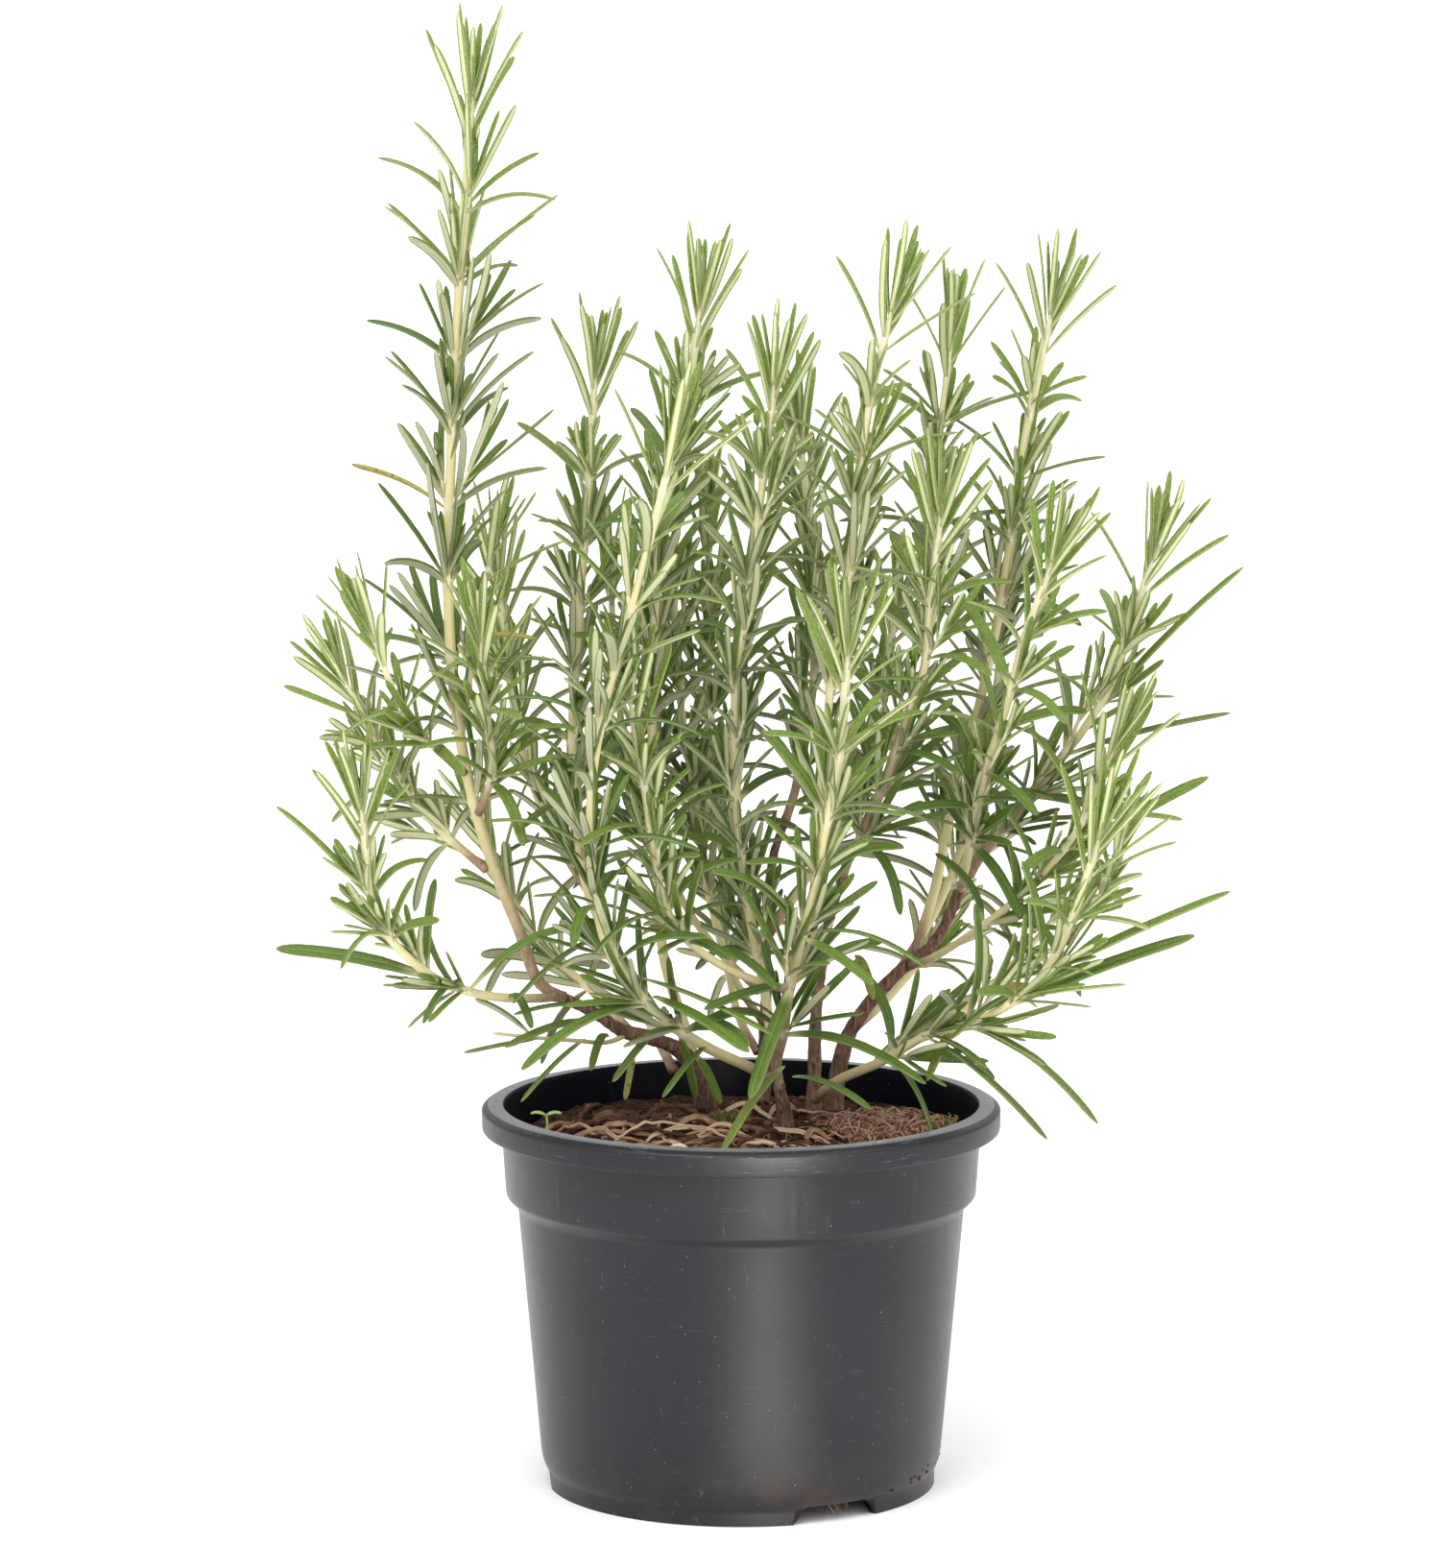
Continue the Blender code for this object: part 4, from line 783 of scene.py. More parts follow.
class Path:
    # a dense curve that can be read at a distance along it, with a frame that doesn't twist
    def __init__(self, points):
        self.points = points
        self.at = np.cumsum([0.0] + [(b - a).length for a, b in zip(points, points[1:])])
        self.length = float(self.at[-1])
        tangent = (points[1] - points[0]).normalized()
        side = front - front.dot(tangent) * tangent
        self.tangents = [tangent]
        self.sides = [side.normalized()]
        for a, b in zip(points[1:], points[2:] + [2 * points[-1] - points[-2]]):
            along = (b - a).normalized()
            turn = self.tangents[-1].rotation_difference(along)
            self.tangents.append(along)
            self.sides.append((turn @ self.sides[-1]).normalized())

    def frame(self, distance):
        i = int(np.argmin(np.abs(self.at - distance)))
        tangent, side = self.tangents[i], self.sides[i]
        side = (side - side.dot(tangent) * tangent).normalized()
        centre = self.points[i] + tangent * float(distance - self.at[i])
        return centre, tangent, side, tangent.cross(side)


class Space:
    # tapered rods that later leaves keep clear of
    def __init__(self):
        self.rods = np.zeros((20000, 8))
        self.centres = np.zeros((20000, 3))
        self.reaches = np.zeros(20000)
        self.owners = []

    def add(self, start, end, startRadius, endRadius, owner):
        i = len(self.owners)
        self.rods[i] = [*start, *end, startRadius, endRadius]
        self.centres[i] = (start + end) / 2
        self.reaches[i] = (end - start).length / 2 + max(startRadius, endRadius)
        self.owners.append(owner)

    def room(self, start, end, startRadius, endRadius, ignore):
        # only the rods within a millimetre are measured
        count = len(self.owners)
        reach = (end - start).length / 2 + max(startRadius, endRadius) + 1 * mm
        away = self.centres[:count] - np.array((start + end) / 2)
        near = np.flatnonzero(np.einsum("ij,ij->i", away, away) < (self.reaches[:count] + reach) ** 2)
        near = [i for i in near if self.owners[i] not in ignore]
        if not near:
            return 1.0
        rods = self.rods[near]
        p, q = np.array(start), np.array(end)
        a, b = rods[:, :3], rods[:, 3:6]
        d1, d2, r = q - p, b - a, p - a
        aa, ee = d1 @ d1, np.einsum("ij,ij->i", d2, d2)
        f, c, bb = np.einsum("ij,ij->i", d2, r), r @ d1, d2 @ d1
        spread = np.maximum(aa * ee - bb * bb, 1e-18)
        s = np.clip((bb * f - c * ee) / spread, 0, 1)
        t = np.clip((bb * s + f) / np.maximum(ee, 1e-18), 0, 1)
        s = np.clip((bb * t - c) / max(aa, 1e-18), 0, 1)
        apart = np.linalg.norm((p + s[:, None] * d1) - (a + t[:, None] * d2), axis=1)
        ownRadii = startRadius + s * (endRadius - startRadius)
        theirRadii = rods[:, 6] + t * (rods[:, 7] - rods[:, 6])
        return float((apart - ownRadii - theirRadii).min())


def addPotRim(space):
    count, inside = 32, 3.5 * mm
    angles = [math.radians(360 * i / count) for i in range(count)]
    ring = [Vector(atBearing(angle, pot["rimRadius"] - inside, pot["height"] - inside)) for angle in angles]
    for a, b in zip(ring, ring[1:] + ring[:1]):
        space.add(a, b, 4 * mm, 4 * mm, "pot")


def addWood(space):
    ends = {}
    for name, (rows, base, end) in wood.items():
        path = Path(smoothPath([fromRim(row) for row in rows]))
        count = max(5, round(path.length / (7 * mm)))
        stops = [path.length * i / count for i in range(count + 1)]
        points = [path.frame(stop)[0] for stop in stops]
        radii = [(base + (end - base) * stop / path.length) * mm for stop in stops]
        for a, b, ra, rb in zip(points, points[1:], radii, radii[1:]):
            space.add(a, b, ra, rb, name)
        ends[name] = (points[-1], (points[-1] - points[-2]).normalized())
    return ends


def clearStart(points, radius, space):
    for i in range(len(points) - 2):
        along = (points[i + 1] - points[i]).normalized()
        free = 1.0
        for rod in space.rods[:len(space.owners)]:
            a, b = Vector(rod[:3]), Vector(rod[3:6])
            share = max(0.0, min(1.0, (points[i] - a).dot(b - a) / (b - a).length_squared))
            toStem = a + share * (b - a) - points[i]
            if toStem.length > 12 * mm:
                continue
            lean = 1 - along.dot(toStem.normalized()) ** 2 if toStem.length > 1e-9 else 0
            stemRadius = rod[6] + share * (rod[7] - rod[6])
            free = min(free, toStem.length - stemRadius - radius * math.sqrt(max(0, lean)))
        if free >= gap:
            return points[i:]
    return points[-2:]


def nodePlaces(length, bare, spacing):
    last = length - leafForm["tipSpacing"] * (leafForm["tipPairs"] + 0.3)
    bare = min(bare, last - spacing * 0.5)
    count = max(1, round((last - bare) / spacing))
    main = [bare + (last - bare) * i / count for i in range(count + 1)]
    return main + [main[-1] + leafForm["tipSpacing"] * (i + 1) for i in range(leafForm["tipPairs"])]


class Shoot:
    def __init__(self, name, path, base, tip, turn, nodes, leafLength, onWood):
        self.name, self.path, self.base, self.tip, self.turn = name, path, base, tip, turn
        self.nodes, self.leafLength, self.onWood = nodes, leafLength, onWood
        self.firstTip = len(nodes) - leafForm["tipPairs"] - 1
        self.leaves = []
        self.taken = set()

    def radius(self, distance):
        return self.base + (self.tip - self.base) * min(1, distance / self.path.length)

    def band(self, k):
        return leafForm["tipBand"] if k >= self.firstTip else leafForm["mainBand"]

    def stops(self):  # distances at which the solid's stem has a ring
        stops = [0.0]
        for k, place in enumerate(self.nodes):
            start = place - self.band(k) / 2
            stretch = start - stops[-1]
            fill = int(stretch // leafForm["straightStep"])
            stops += [stops[-1] + stretch * (i + 1) / (fill + 1) for i in range(fill)]
            stops += [start, place + self.band(k) / 2]
        return stops + [self.path.length]

    def outward(self, k, side, swing=0.0):
        _, _, normal, across = self.path.frame(self.nodes[k])
        angle = math.radians(self.turn + 90 * (k % 2)) + math.pi * side + swing
        return math.cos(angle) * normal + math.sin(angle) * across

    def leafRoot(self, k, side):
        centre = self.path.frame(self.nodes[k])[0]
        return centre + self.outward(k, side) * self.radius(self.nodes[k]) * 0.7

    def fillSpace(self, space):
        stops = self.stops()
        for a, b in zip(stops, stops[1:]):
            space.add(self.path.frame(a)[0], self.path.frame(b)[0], self.radius(a), self.radius(b), self.name)


class Leaf:
    def __init__(self, root, knee, tip, width, thickness):
        self.root, self.knee, self.tip, self.width, self.thickness = root, knee, tip, width, thickness
        self.middle = (root + 2 * knee + tip) / 4

    def rods(self):
        reach = max(self.width, self.thickness) / 2
        return [
            (self.root.lerp(self.middle, 0.12), self.middle, reach * 0.65, reach),
            (self.middle, self.tip, reach, 0.2 * mm),
        ]

    def fits(self, space, ignore, clearance):
        if any(space.room(*rod, ignore) < clearance for rod in self.rods()):
            return False
        for point in (self.middle, self.tip):
            overPeat = math.hypot(point.x, point.y) < pot["collarFoot"]
            if overPeat and point.z < peatHeight(point.x, point.y) + 2 * mm:
                return False
        return True

    def fillSpace(self, space, owner):
        for rod in self.rods():
            space.add(*rod, owner)


def readShoot(row, space, ends):
    name, follows, rows, base, tip, bare, spacing, leafLength, turn = row
    points = [fromRim(r) for r in rows]
    points.append(points[-1] + (points[-1] - points[-2]).normalized() * leafForm["tipReach"])
    if follows:
        end, along = ends[follows]
        dense = smoothPath([end + along * gap, end + along * 3 * mm] + points)
    else:
        dense = clearStart(smoothPath(points, 0.3 * mm), base * mm, space)
    path = Path(dense)
    nodes = nodePlaces(path.length, bare * mm, spacing * mm)
    return Shoot(name, path, base * mm, tip * mm, turn, nodes, leafLength * mm, bool(follows))


def grownLeaf(shoot, k, side, draw, swing, lift, share):
    # draw is three random numbers; the pairs at the tip stand up more and are shorter
    tangent = shoot.path.frame(shoot.nodes[k])[1]
    root = shoot.leafRoot(k, side)
    outward = shoot.outward(k, side, swing)
    tipRank = k - shoot.firstTip
    age = 1 - shoot.nodes[k] / shoot.path.length
    if tipRank >= 0:
        slope = math.radians(leafForm["tipSlope"][0] - leafForm["tipSlope"][1] * tipRank) + 0.12 * draw[0]
        arch = 0.28 * draw[1] - 0.06 * tipRank
        length = shoot.leafLength * (0.98 - 0.05 * tipRank)
        width = leafForm["width"] * (0.82 - 0.08 * tipRank)
    else:
        slope = math.radians(leafForm["slope"][0] + leafForm["slope"][1] * age) + 0.16 * draw[0]
        arch = 0.18 + 0.75 * draw[1] + 0.25 * age
        length = shoot.leafLength * (0.9 + 0.14 * draw[2])
        width = leafForm["width"] * (0.92 + 0.16 * draw[2])
    slope += lift
    length *= share
    away = tangent * math.cos(slope) + outward * math.sin(slope)
    later = tangent * math.cos(slope + arch) + outward * math.sin(slope + arch) - up * 0.16 * age
    knee = root + away * length * 0.5
    tip = knee + later.normalized() * length * 0.52
    return Leaf(root, knee, tip, width, leafForm["thickness"] * width / leafForm["width"])


def growPairs(shoot, space, dice):
    for k in range(len(shoot.nodes)):
        for side in (0, 1):
            draw = [dice.uniform(-1, 1), dice.random(), dice.random()]
            if (k, side) in shoot.taken:
                continue
            own = f"{shoot.name}:{k}"
            for swing, lift, share in leafTries:
                leaf = grownLeaf(shoot, k, side, draw, math.radians(swing), math.radians(lift), share)
                if leaf.fits(space, (shoot.name, own), leafForm["clearance"]):
                    leaf.fillSpace(space, own)
                    shoot.leaves.append((k, side, leaf))
                    break


def growSingle(shoot, space, distance, tipRow, width, sag):
    k = min(range(len(shoot.nodes)), key=lambda i: abs(shoot.nodes[i] - distance * mm))
    tip = fromRim(tipRow)
    centre = shoot.path.frame(shoot.nodes[k])[0]
    free = [side for side in (0, 1) if (k, side) not in shoot.taken]
    if not free:
        return
    side = max(free, key=lambda s: shoot.outward(k, s).dot(tip - centre))
    root = shoot.leafRoot(k, side)
    knee = root.lerp(tip, 0.5) + up * 2 * sag * mm
    leaf = Leaf(root, knee, tip, width * mm, leafForm["thickness"])
    own = f"{shoot.name}:{k}"
    if leaf.fits(space, (shoot.name, own), leafForm["clearance"]):
        leaf.fillSpace(space, own)
        shoot.taken.add((k, side))
        shoot.leaves.append((k, side, leaf))


def growSkeleton():
    space = Space()
    addPotRim(space)
    ends = addWood(space)
    shoots = {}
    for row in shootRows:
        shoot = readShoot(row, space, ends)
        shoot.fillSpace(space)
        shoots[shoot.name] = shoot
    for name, distance, tip, width, sag in singleRows:
        growSingle(shoots[name], space, distance, tip, width, sag)
    dice = random.Random(leafForm["dice"])
    for shoot in shoots.values():
        growPairs(shoot, space, dice)
    return shoots, space


shoots, space = growSkeleton()
print("skeleton grown:", len(shoots), "shoots,", sum(len(s.leaves) for s in shoots.values()), "leaves")


# bark
bark = {
    "around": 22,
    "step": 1.0 * mm,
    "rough": 0.42 * mm,
    "colour": (0.165, 0.088, 0.062),
    "worn": (0.25, 0.14, 0.098),
    "pale": (0.40, 0.29, 0.215),
    "crack": (0.030, 0.015, 0.011),
}


def makeBarkFinish(style):
    finish = Finish("rosemaryBark", style["colour"], 0.86, 0.25)
    ridges = finish.noise(1.1 * mm, 5, 0.65, (1, 1, 0.22), 0.8)
    flakes = finish.noise(3.5 * mm, 4, 0.6)
    fine = finish.noise(0.3 * mm, 3, 0.6)
    stops = [(0.32, style["crack"]), (0.48, style["colour"]), (0.60, style["worn"]), (0.74, style["pale"])]
    colour = finish.ramp(ridges, stops)
    colour = finish.mix(finish.steps(flakes, 0.55, 0.75) * 0.5, colour, style["pale"])
    finish.colour(finish.mix(finish.steps(fine, 0.5, 0.8) * 0.3, colour, (0.27, 0.13, 0.08)))
    finish.bump(ridges * 0.8 + fine * 0.3, 0.5 * mm, 0.9)
    return finish


def makeWood(style):
    finish = makeBarkFinish(style)
    for number, (name, (rows, base, end)) in enumerate(wood.items()):
        path = Path(smoothPath([fromRim(row) for row in rows]))
        count = round(path.length / style["step"])
        rings = []
        for i in range(count + 1):
            distance = path.length * i / count
            centre, _, side, across = path.frame(distance)
            collar = math.exp(-max(0, centre.z - pot["height"] + peat["depth"]) / (6 * mm))
            swell = 0.10 * noise.noise(Vector((distance / mm / 9, number * 7, 0)))
            radius = (base + (end - base) * i / count) * mm * (1 + 0.28 * collar + swell)
            # ridges run along the stem, knuckles stand where old leaves were
            knuckle = max(0, math.sin(distance / mm / 1.9 + number) - 0.72) * 1.3
            ring = []
            for j in range(style["around"]):
                angle = 2 * math.pi * j / style["around"]
                c, s = math.cos(angle), math.sin(angle)
                out = c * side + s * across
                grain = noise.noise(Vector((c * 2.2, s * 2.2, distance / mm / 7 + number * 9)))
                fine = noise.noise((centre + out * radius) / mm * 0.9)
                bumps = style["rough"] * (grain + 0.45 * fine)
                ring.append(tuple(centre + out * (radius * (0.93 + 0.05 * knuckle) + bumps)))
            rings.append(ring)
        heap = Heap()
        heap.addTube(np.array(rings))
        heap.piece(pieceName(name), [finish], [name], "wood")


makeWood(bark)
print("wood made")


# leaves: half a section from the middle of the upper face, round the rolled edge, to the middle of the
# lower one, as share of half the width, share of the thickness, felt and rib, grown and young
leafLook = {
    "drawnOut": 0.16,  # share of the outer half by which a leaf's thin tip passes its solid's
    "droop": 0.9 * mm,
    "grownSection": [
        (0.00, 0.20, 0, 1.0), (0.13, 0.36, 0, 0.3), (0.48, 0.50, 0, 0), (0.84, 0.32, 0, 0),
        (1.00, -0.06, 0.24, 0), (0.96, -0.38, 0.05, 0), (0.84, -0.50, 0.2, 0), (0.70, -0.36, 1, 0),
        (0.34, -0.20, 1, 0), (0.13, -0.26, 1, 0.5), (0.00, -0.42, 0.75, 1.0),
    ],
    "youngSection": [
        (0.00, 0.20, 0, 1.0), (0.13, 0.36, 0, 0.35), (0.48, 0.50, 0, 0), (0.84, 0.36, 0.0, 0),
        (1.00, -0.04, 0.3, 0), (0.95, -0.38, 0.05, 0), (0.62, -0.52, 0.1, 0), (0.42, -0.40, 0.9, 0),
        (0.25, -0.26, 1, 0), (0.10, -0.28, 1, 0.3), (0.00, -0.36, 1.0, 0.6),
    ],
    "stations": (0, 0.05, 0.12, 0.21, 0.32, 0.44, 0.56, 0.68, 0.78, 0.86, 0.92, 0.965, 0.99, 1.0),
    "tuftStations": (0, 0.1, 0.25, 0.45, 0.65, 0.82, 0.93, 0.985, 1.0),
    "thin": 0.62,  # the visible leaf's thickness as a share of its solid's
    "dice": 41,
    "lowDice": 15,
    "green": (0.125, 0.205, 0.024),
    "deepGreen": (0.056, 0.108, 0.011),
    "youngGreen": (0.275, 0.375, 0.072),
    "midrib": (0.25, 0.34, 0.08),
    "felt": (0.42, 0.415, 0.27),
    "youngFelt": (0.70, 0.71, 0.39),
    "base": (0.58, 0.56, 0.30),
    "yellowing": (0.36, 0.31, 0.07),
    "spots": (0.10, 0.045, 0.018),
}


def makeLeafFinish(style):
    finish = Finish("rosemaryLeaf", style["green"], gloss=0.28)
    felt, rib, along = finish.value("felt"), finish.value("rib"), finish.value("along")
    youth, tone, yellow = finish.value("youth"), finish.value("tone"), finish.value("yellow")
    cloud = finish.noise(4 * mm, 3, 0.6)
    pebbles = finish.cells(0.58 * mm)
    fuzz = finish.noise(0.16 * mm, 3, 0.65)
    grown = finish.mix(finish.steps(tone + cloud * 0.8, 0.45, 1.35), style["deepGreen"], style["green"])
    upper = finish.mix(youth, grown, style["youngGreen"])
    # darker between the pebbles, where the bump is lowest: painted shade in the hollows
    upper = finish.mix(finish.steps(pebbles, 0.10, 0.60, 0, 0.6), upper, style["deepGreen"])
    upper = finish.mix(finish.steps(rib, 0.55, 1.0, 0, 0.75), upper, style["midrib"])
    under = finish.mix(youth, style["felt"], style["youngFelt"])
    under = finish.mix(finish.steps(fuzz, 0.35, 0.7, 0, 0.25), under, (0.66, 0.70, 0.58))
    under = finish.mix(finish.steps(rib, 0.7, 1.0, 0, 0.45), under, style["youngGreen"])
    colour = finish.mix(felt, upper, under)
    colour = finish.mix(finish.steps(along, 0.02, 0.20, 0.8, 0), colour, style["base"])
    spots = finish.steps(finish.noise(1.3 * mm, 4, 0.6), 0.56, 0.63)
    aged = finish.mix(spots * 0.85, style["yellowing"], style["spots"])
    colour = finish.mix(yellow * 0.85, colour, aged)
    finish.colour(finish.mix(finish.steps(along, 0.965, 1.0, 0, 0.35), colour, (0.30, 0.22, 0.09)))
    finish.roughness(finish.steps(felt, 0, 1, 0.44, 0.85) + cloud * 0.12)
    finish.bump((1 - pebbles) * (1 - felt) + fuzz * felt * 0.6, 0.20 * mm, 0.8)
    return finish


stemLook = {
    "around": 16,
    "slim": 0.86,  # the visible stem's radius as a share of the solid's corner radius
    "knot": 0.15,
    "nodeRings": (-2.2, -1.2, -0.5, 0.3, 1.1, 2.2),  # round a node, where the stem swells
    "colour": (0.70, 0.61, 0.33),
    "young": (0.68, 0.66, 0.41),
    "old": (0.44, 0.31, 0.19),
    "down": (0.74, 0.70, 0.55),
}


def makeStemFinish(style):
    finish = Finish("rosemaryStem", style["colour"], 0.62, 0.3)
    youth, knot, yellow = finish.value("youth"), finish.value("knot"), finish.value("yellow")
    streaks = finish.noise(0.7 * mm, 4, 0.6, (1, 1, 0.12))
    blotch = finish.noise(5 * mm, 3, 0.6)
    fuzz = finish.noise(0.15 * mm, 3, 0.6)
    colour = finish.mix(finish.steps(youth, 0.45, 1.0), style["colour"], style["young"])
    colour = finish.mix(finish.steps(streaks, 0.48, 0.66, 0, 0.4), colour, (0.52, 0.56, 0.22))
    aged = finish.mix(finish.steps(streaks + blotch, 0.75, 1.25), (0.23, 0.135, 0.085), style["old"])
    colour = finish.mix(yellow, colour, aged)
    finish.colour(finish.mix(knot * 0.7, colour, style["down"]))
    finish.bump(streaks * 0.6 + fuzz * 0.5, 0.12 * mm, 0.5)
    return finish


def leafWidths(stations):
    # narrow at the base, widest before the middle, blunt at the tip
    s = np.asarray(stations)
    base = 0.40 + 0.60 * np.clip(s / 0.34, 0, 1) ** 0.8
    blunt = np.sqrt(np.clip(1 - np.clip((s - 0.80) / 0.20, 0, 1) ** 2.4, 0.006, 1))
    return base * blunt * (1.04 - 0.16 * s)


def section(youth):
    grown, young = np.array(leafLook["grownSection"]), np.array(leafLook["youngSection"])
    half = grown + (young - grown) * youth
    other = half[-2:0:-1] * (-1, 1, 1, 1)
    return np.vstack([half, other])


def addLeaf(heap, leaf, stemWay, youth, tone, yellow, roll, bow, stations):
    # a leaf lofted along its bend, with the upper face towards the stem's tip
    s = np.asarray(stations)[:, None]
    root, knee, tip = (np.array(p) for p in (leaf.root, leaf.knee, leaf.tip))
    tip = tip + (tip - knee) * leafLook["drawnOut"] - np.array(stemWay) * leafLook["droop"]
    middle = (1 - s) ** 2 * root + 2 * s * (1 - s) * knee + s ** 2 * tip
    along = unit(2 * (1 - s) * (knee - root) + 2 * s * (tip - knee))
    across = unit(np.cross(np.array(stemWay), along))
    middle = middle + across * bow * np.sin(math.pi * s)
    across = turnedAbout(along, across, roll[0] + roll[1] * s[:, 0])
    normal = np.cross(along, across)
    shape = section(youth)
    width = leafWidths(stations)[:, None] * leaf.width / 2
    thick = np.minimum(1, leafWidths(stations)[:, None] * 1.25) * leaf.thickness * leafLook["thin"]
    rings = middle[:, None] + across[:, None] * (width * shape[:, 0])[..., None]
    rings = rings + normal[:, None] * (thick * shape[:, 1])[..., None]
    felt, rib = shape[::-1, 2], shape[::-1, 3]
    heap.addTube(rings[:, ::-1], felt=felt, rib=rib, along=s, youth=youth, tone=tone, yellow=yellow)


def addStem(heap, shoot):
    # rounded square, thicker at the nodes, thinner in the bud, its start pushed into the stem it leaves
    path = shoot.path
    stops = set(np.linspace(0, path.length, max(8, int(path.length / (3 * mm)))))
    for place in shoot.nodes:
        around = (place + d * mm for d in stemLook["nodeRings"])
        stops |= {stop for stop in around if 0 < stop < path.length}
    stops = sorted(stops)
    nodes = np.array(shoot.nodes)
    angles = np.linspace(0, 2 * math.pi, stemLook["around"], endpoint=False)
    square = 1 + 0.055 * np.cos(4 * (angles - math.radians(shoot.turn + 45)))
    rings, youths, knots, ages = [], [], [], []
    for at in [0.0] + stops:
        centre, tangent, side, across = path.frame(at)
        radius = shoot.radius(at) * stemLook["slim"]
        if not rings:
            centre, radius = centre - tangent * 1.8 * mm, shoot.base * stemLook["slim"] * 1.12
        close = math.exp(-((np.abs(nodes - at).min() / (1.3 * mm)) ** 2))
        left = path.length - at
        radius *= (1 + stemLook["knot"] * close) * min(1, 0.42 + 0.58 * left / leafForm["tipReach"])
        ring = [
            np.array(centre) + radius * q * (math.cos(a) * np.array(side) + math.sin(a) * np.array(across))
            for a, q in zip(angles, square)
        ]
        rings.append(ring)
        youths.append(min(1, max(0, 1 - left / (110 * mm))))
        knots.append(close)
        ages.append(min(1, max(0, 1.25 - at / (48 * mm if shoot.onWood else 10 * mm))))
    youth, knot, yellow = (np.array(values)[:, None] for values in (youths, knots, ages))
    heap.addTube(np.array(rings), 1, youth=youth, knot=knot * 0.8, yellow=yellow)


tuft = {
    "length": (0.60, 0.90),  # share of the shoot's leaf length
    "width": (1.9, 2.6),
    "axis": (2.5, 7.5),  # its own stem's length
    "longAxis": (9, 16),
    "longShare": 0.2,  # share of the axils whose side shoot has grown long
    "radius": 0.55 * mm,
    "lean": (12, 30),  # degrees from the stem
    "bigger": {"left_tall": 1.3, "left_outer": 0.85, "left_low": 0.85, "left_spur": 0.85},
    "clearance": 0.10 * mm,
    "bare": 0.06,  # share of axils with no side shoot
    "dice": 23,
}
# pair by pair: place along the tuft's axis, slope from it in degrees, outward arch, share of the length
tuftPairs = [(0.22, 32, 0.30, 1.0), (0.58, 20, 0.14, 0.95), (0.90, 11, 0.04, 0.82), (1.04, 4, -0.04, 0.6)]
# turns about the axis in degrees, and shares of the length, that each of its leaves tries
tuftTries = [(0, 1), (16, 0.96), (-16, 0.96), (30, 0.85), (-30, 0.85), (0, 0.66)]


def growTuft(heap, shoot, k, side, dice):
    # a young side shoot in a leaf's axil: crossed pairs on a short stem of its own
    centre, tangent, _, _ = shoot.path.frame(shoot.nodes[k])
    size = dice.uniform(*tuft["length"]) * shoot.leafLength * tuft["bigger"].get(shoot.name, 1)
    lean = math.radians(dice.uniform(*tuft["lean"]))
    swing = dice.uniform(-0.4, 0.4)
    chance = dice.random()
    reach = dice.uniform(*tuft["axis"]) * mm
    if chance > 1 - tuft["longShare"]:
        reach = dice.uniform(*tuft["longAxis"]) * mm
    tone = dice.random()
    draws = [(dice.uniform(-1, 1), dice.uniform(-1, 1), dice.random()) for _ in range(2 * len(tuftPairs))]
    fromTip = (shoot.path.length - shoot.nodes[k]) / mm
    grown = min(1, 0.45 + fromTip / 90)
    if chance < tuft["bare"]:
        return
    outward = shoot.outward(k, side, swing)
    axis = (tangent * math.cos(lean) + outward * math.sin(lean)).normalized()
    start = centre + shoot.outward(k, side) * shoot.radius(shoot.nodes[k]) * 0.6 + tangent * 1.0 * mm
    own = f"{shoot.name}:{k}"
    thin, clear = tuft["radius"], tuft["clearance"]
    reach *= grown
    for _ in range(3):
        if space.room(start, start + axis * reach, thin, thin, (shoot.name, own)) > clear:
            break
        reach *= 0.6
    size *= 0.5 + 0.5 * grown
    flat = tangent.cross(outward).normalized()
    upright = flat.cross(axis).normalized()
    bend = axis - outward * 0.5
    path = [start + axis * reach * t + bend * (reach * 0.10 * t * t) for t in np.linspace(0, 1, 6)]
    rings = tubeRings([tuple(p) for p in path], np.linspace(1.25, 0.8, 6) * thin, 8)
    heap.addTube(rings, 1, youth=1.0, knot=np.array([[0.9], [0.5], [0.2], [0.5], [0.3], [0.6]]))
    space.add(start, path[-1], thin, thin, own)
    way = (path[-1] - path[-2]).normalized()
    for i, (wide, archDraw, lengthDraw) in enumerate(draws):
        pair, half = divmod(i, 2)
        place, slope, arch, share = tuftPairs[pair]
        sideways = (flat if pair % 2 == 0 else upright) * (1 if half else -1)
        slope = math.radians(slope) + 0.14 * wide
        arch = arch + 0.22 * archDraw
        length = size * share * (0.88 + 0.24 * lengthDraw)
        narrow, broad = tuft["width"]
        width = (narrow + (broad - narrow) * lengthDraw) * mm * (0.75 + 0.25 * share)
        root = start.lerp(path[-1], min(1, place)) + sideways * thin * 0.4
        for turn, shorter in tuftTries:
            spun = Matrix.Rotation(math.radians(turn), 3, way) @ sideways
            away = way * math.cos(slope) + spun * math.sin(slope)
            later = way * math.cos(slope + arch) + spun * math.sin(slope + arch)
            knee = root + away * length * shorter * 0.5
            tip = knee + later * length * shorter * 0.5
            small = Leaf(root, knee, tip, width, width * 0.5)
            if small.fits(space, (shoot.name, own), clear):
                small.fillSpace(space, own)
                youth = min(1, max(0, 1.25 - fromTip / 85) + (0.18 if pair > 1 else 0)) * (0.75 + 0.25 * tone)
                roll, bow = (0.3 * wide, 0.25 * archDraw), 0.3 * mm * archDraw
                addLeaf(heap, small, way, youth, tone, 0, roll, bow, leafLook["tuftStations"])
                break


# the bud's pairs: share of the leaf length, slope in degrees, how far below the stem's end
budPairs = [(0.88, 15, 2.6), (0.86, 10, 1.8), (0.78, 6, 1.0), (0.62, 4, 0.4), (0.42, 2.5, 0.0)]


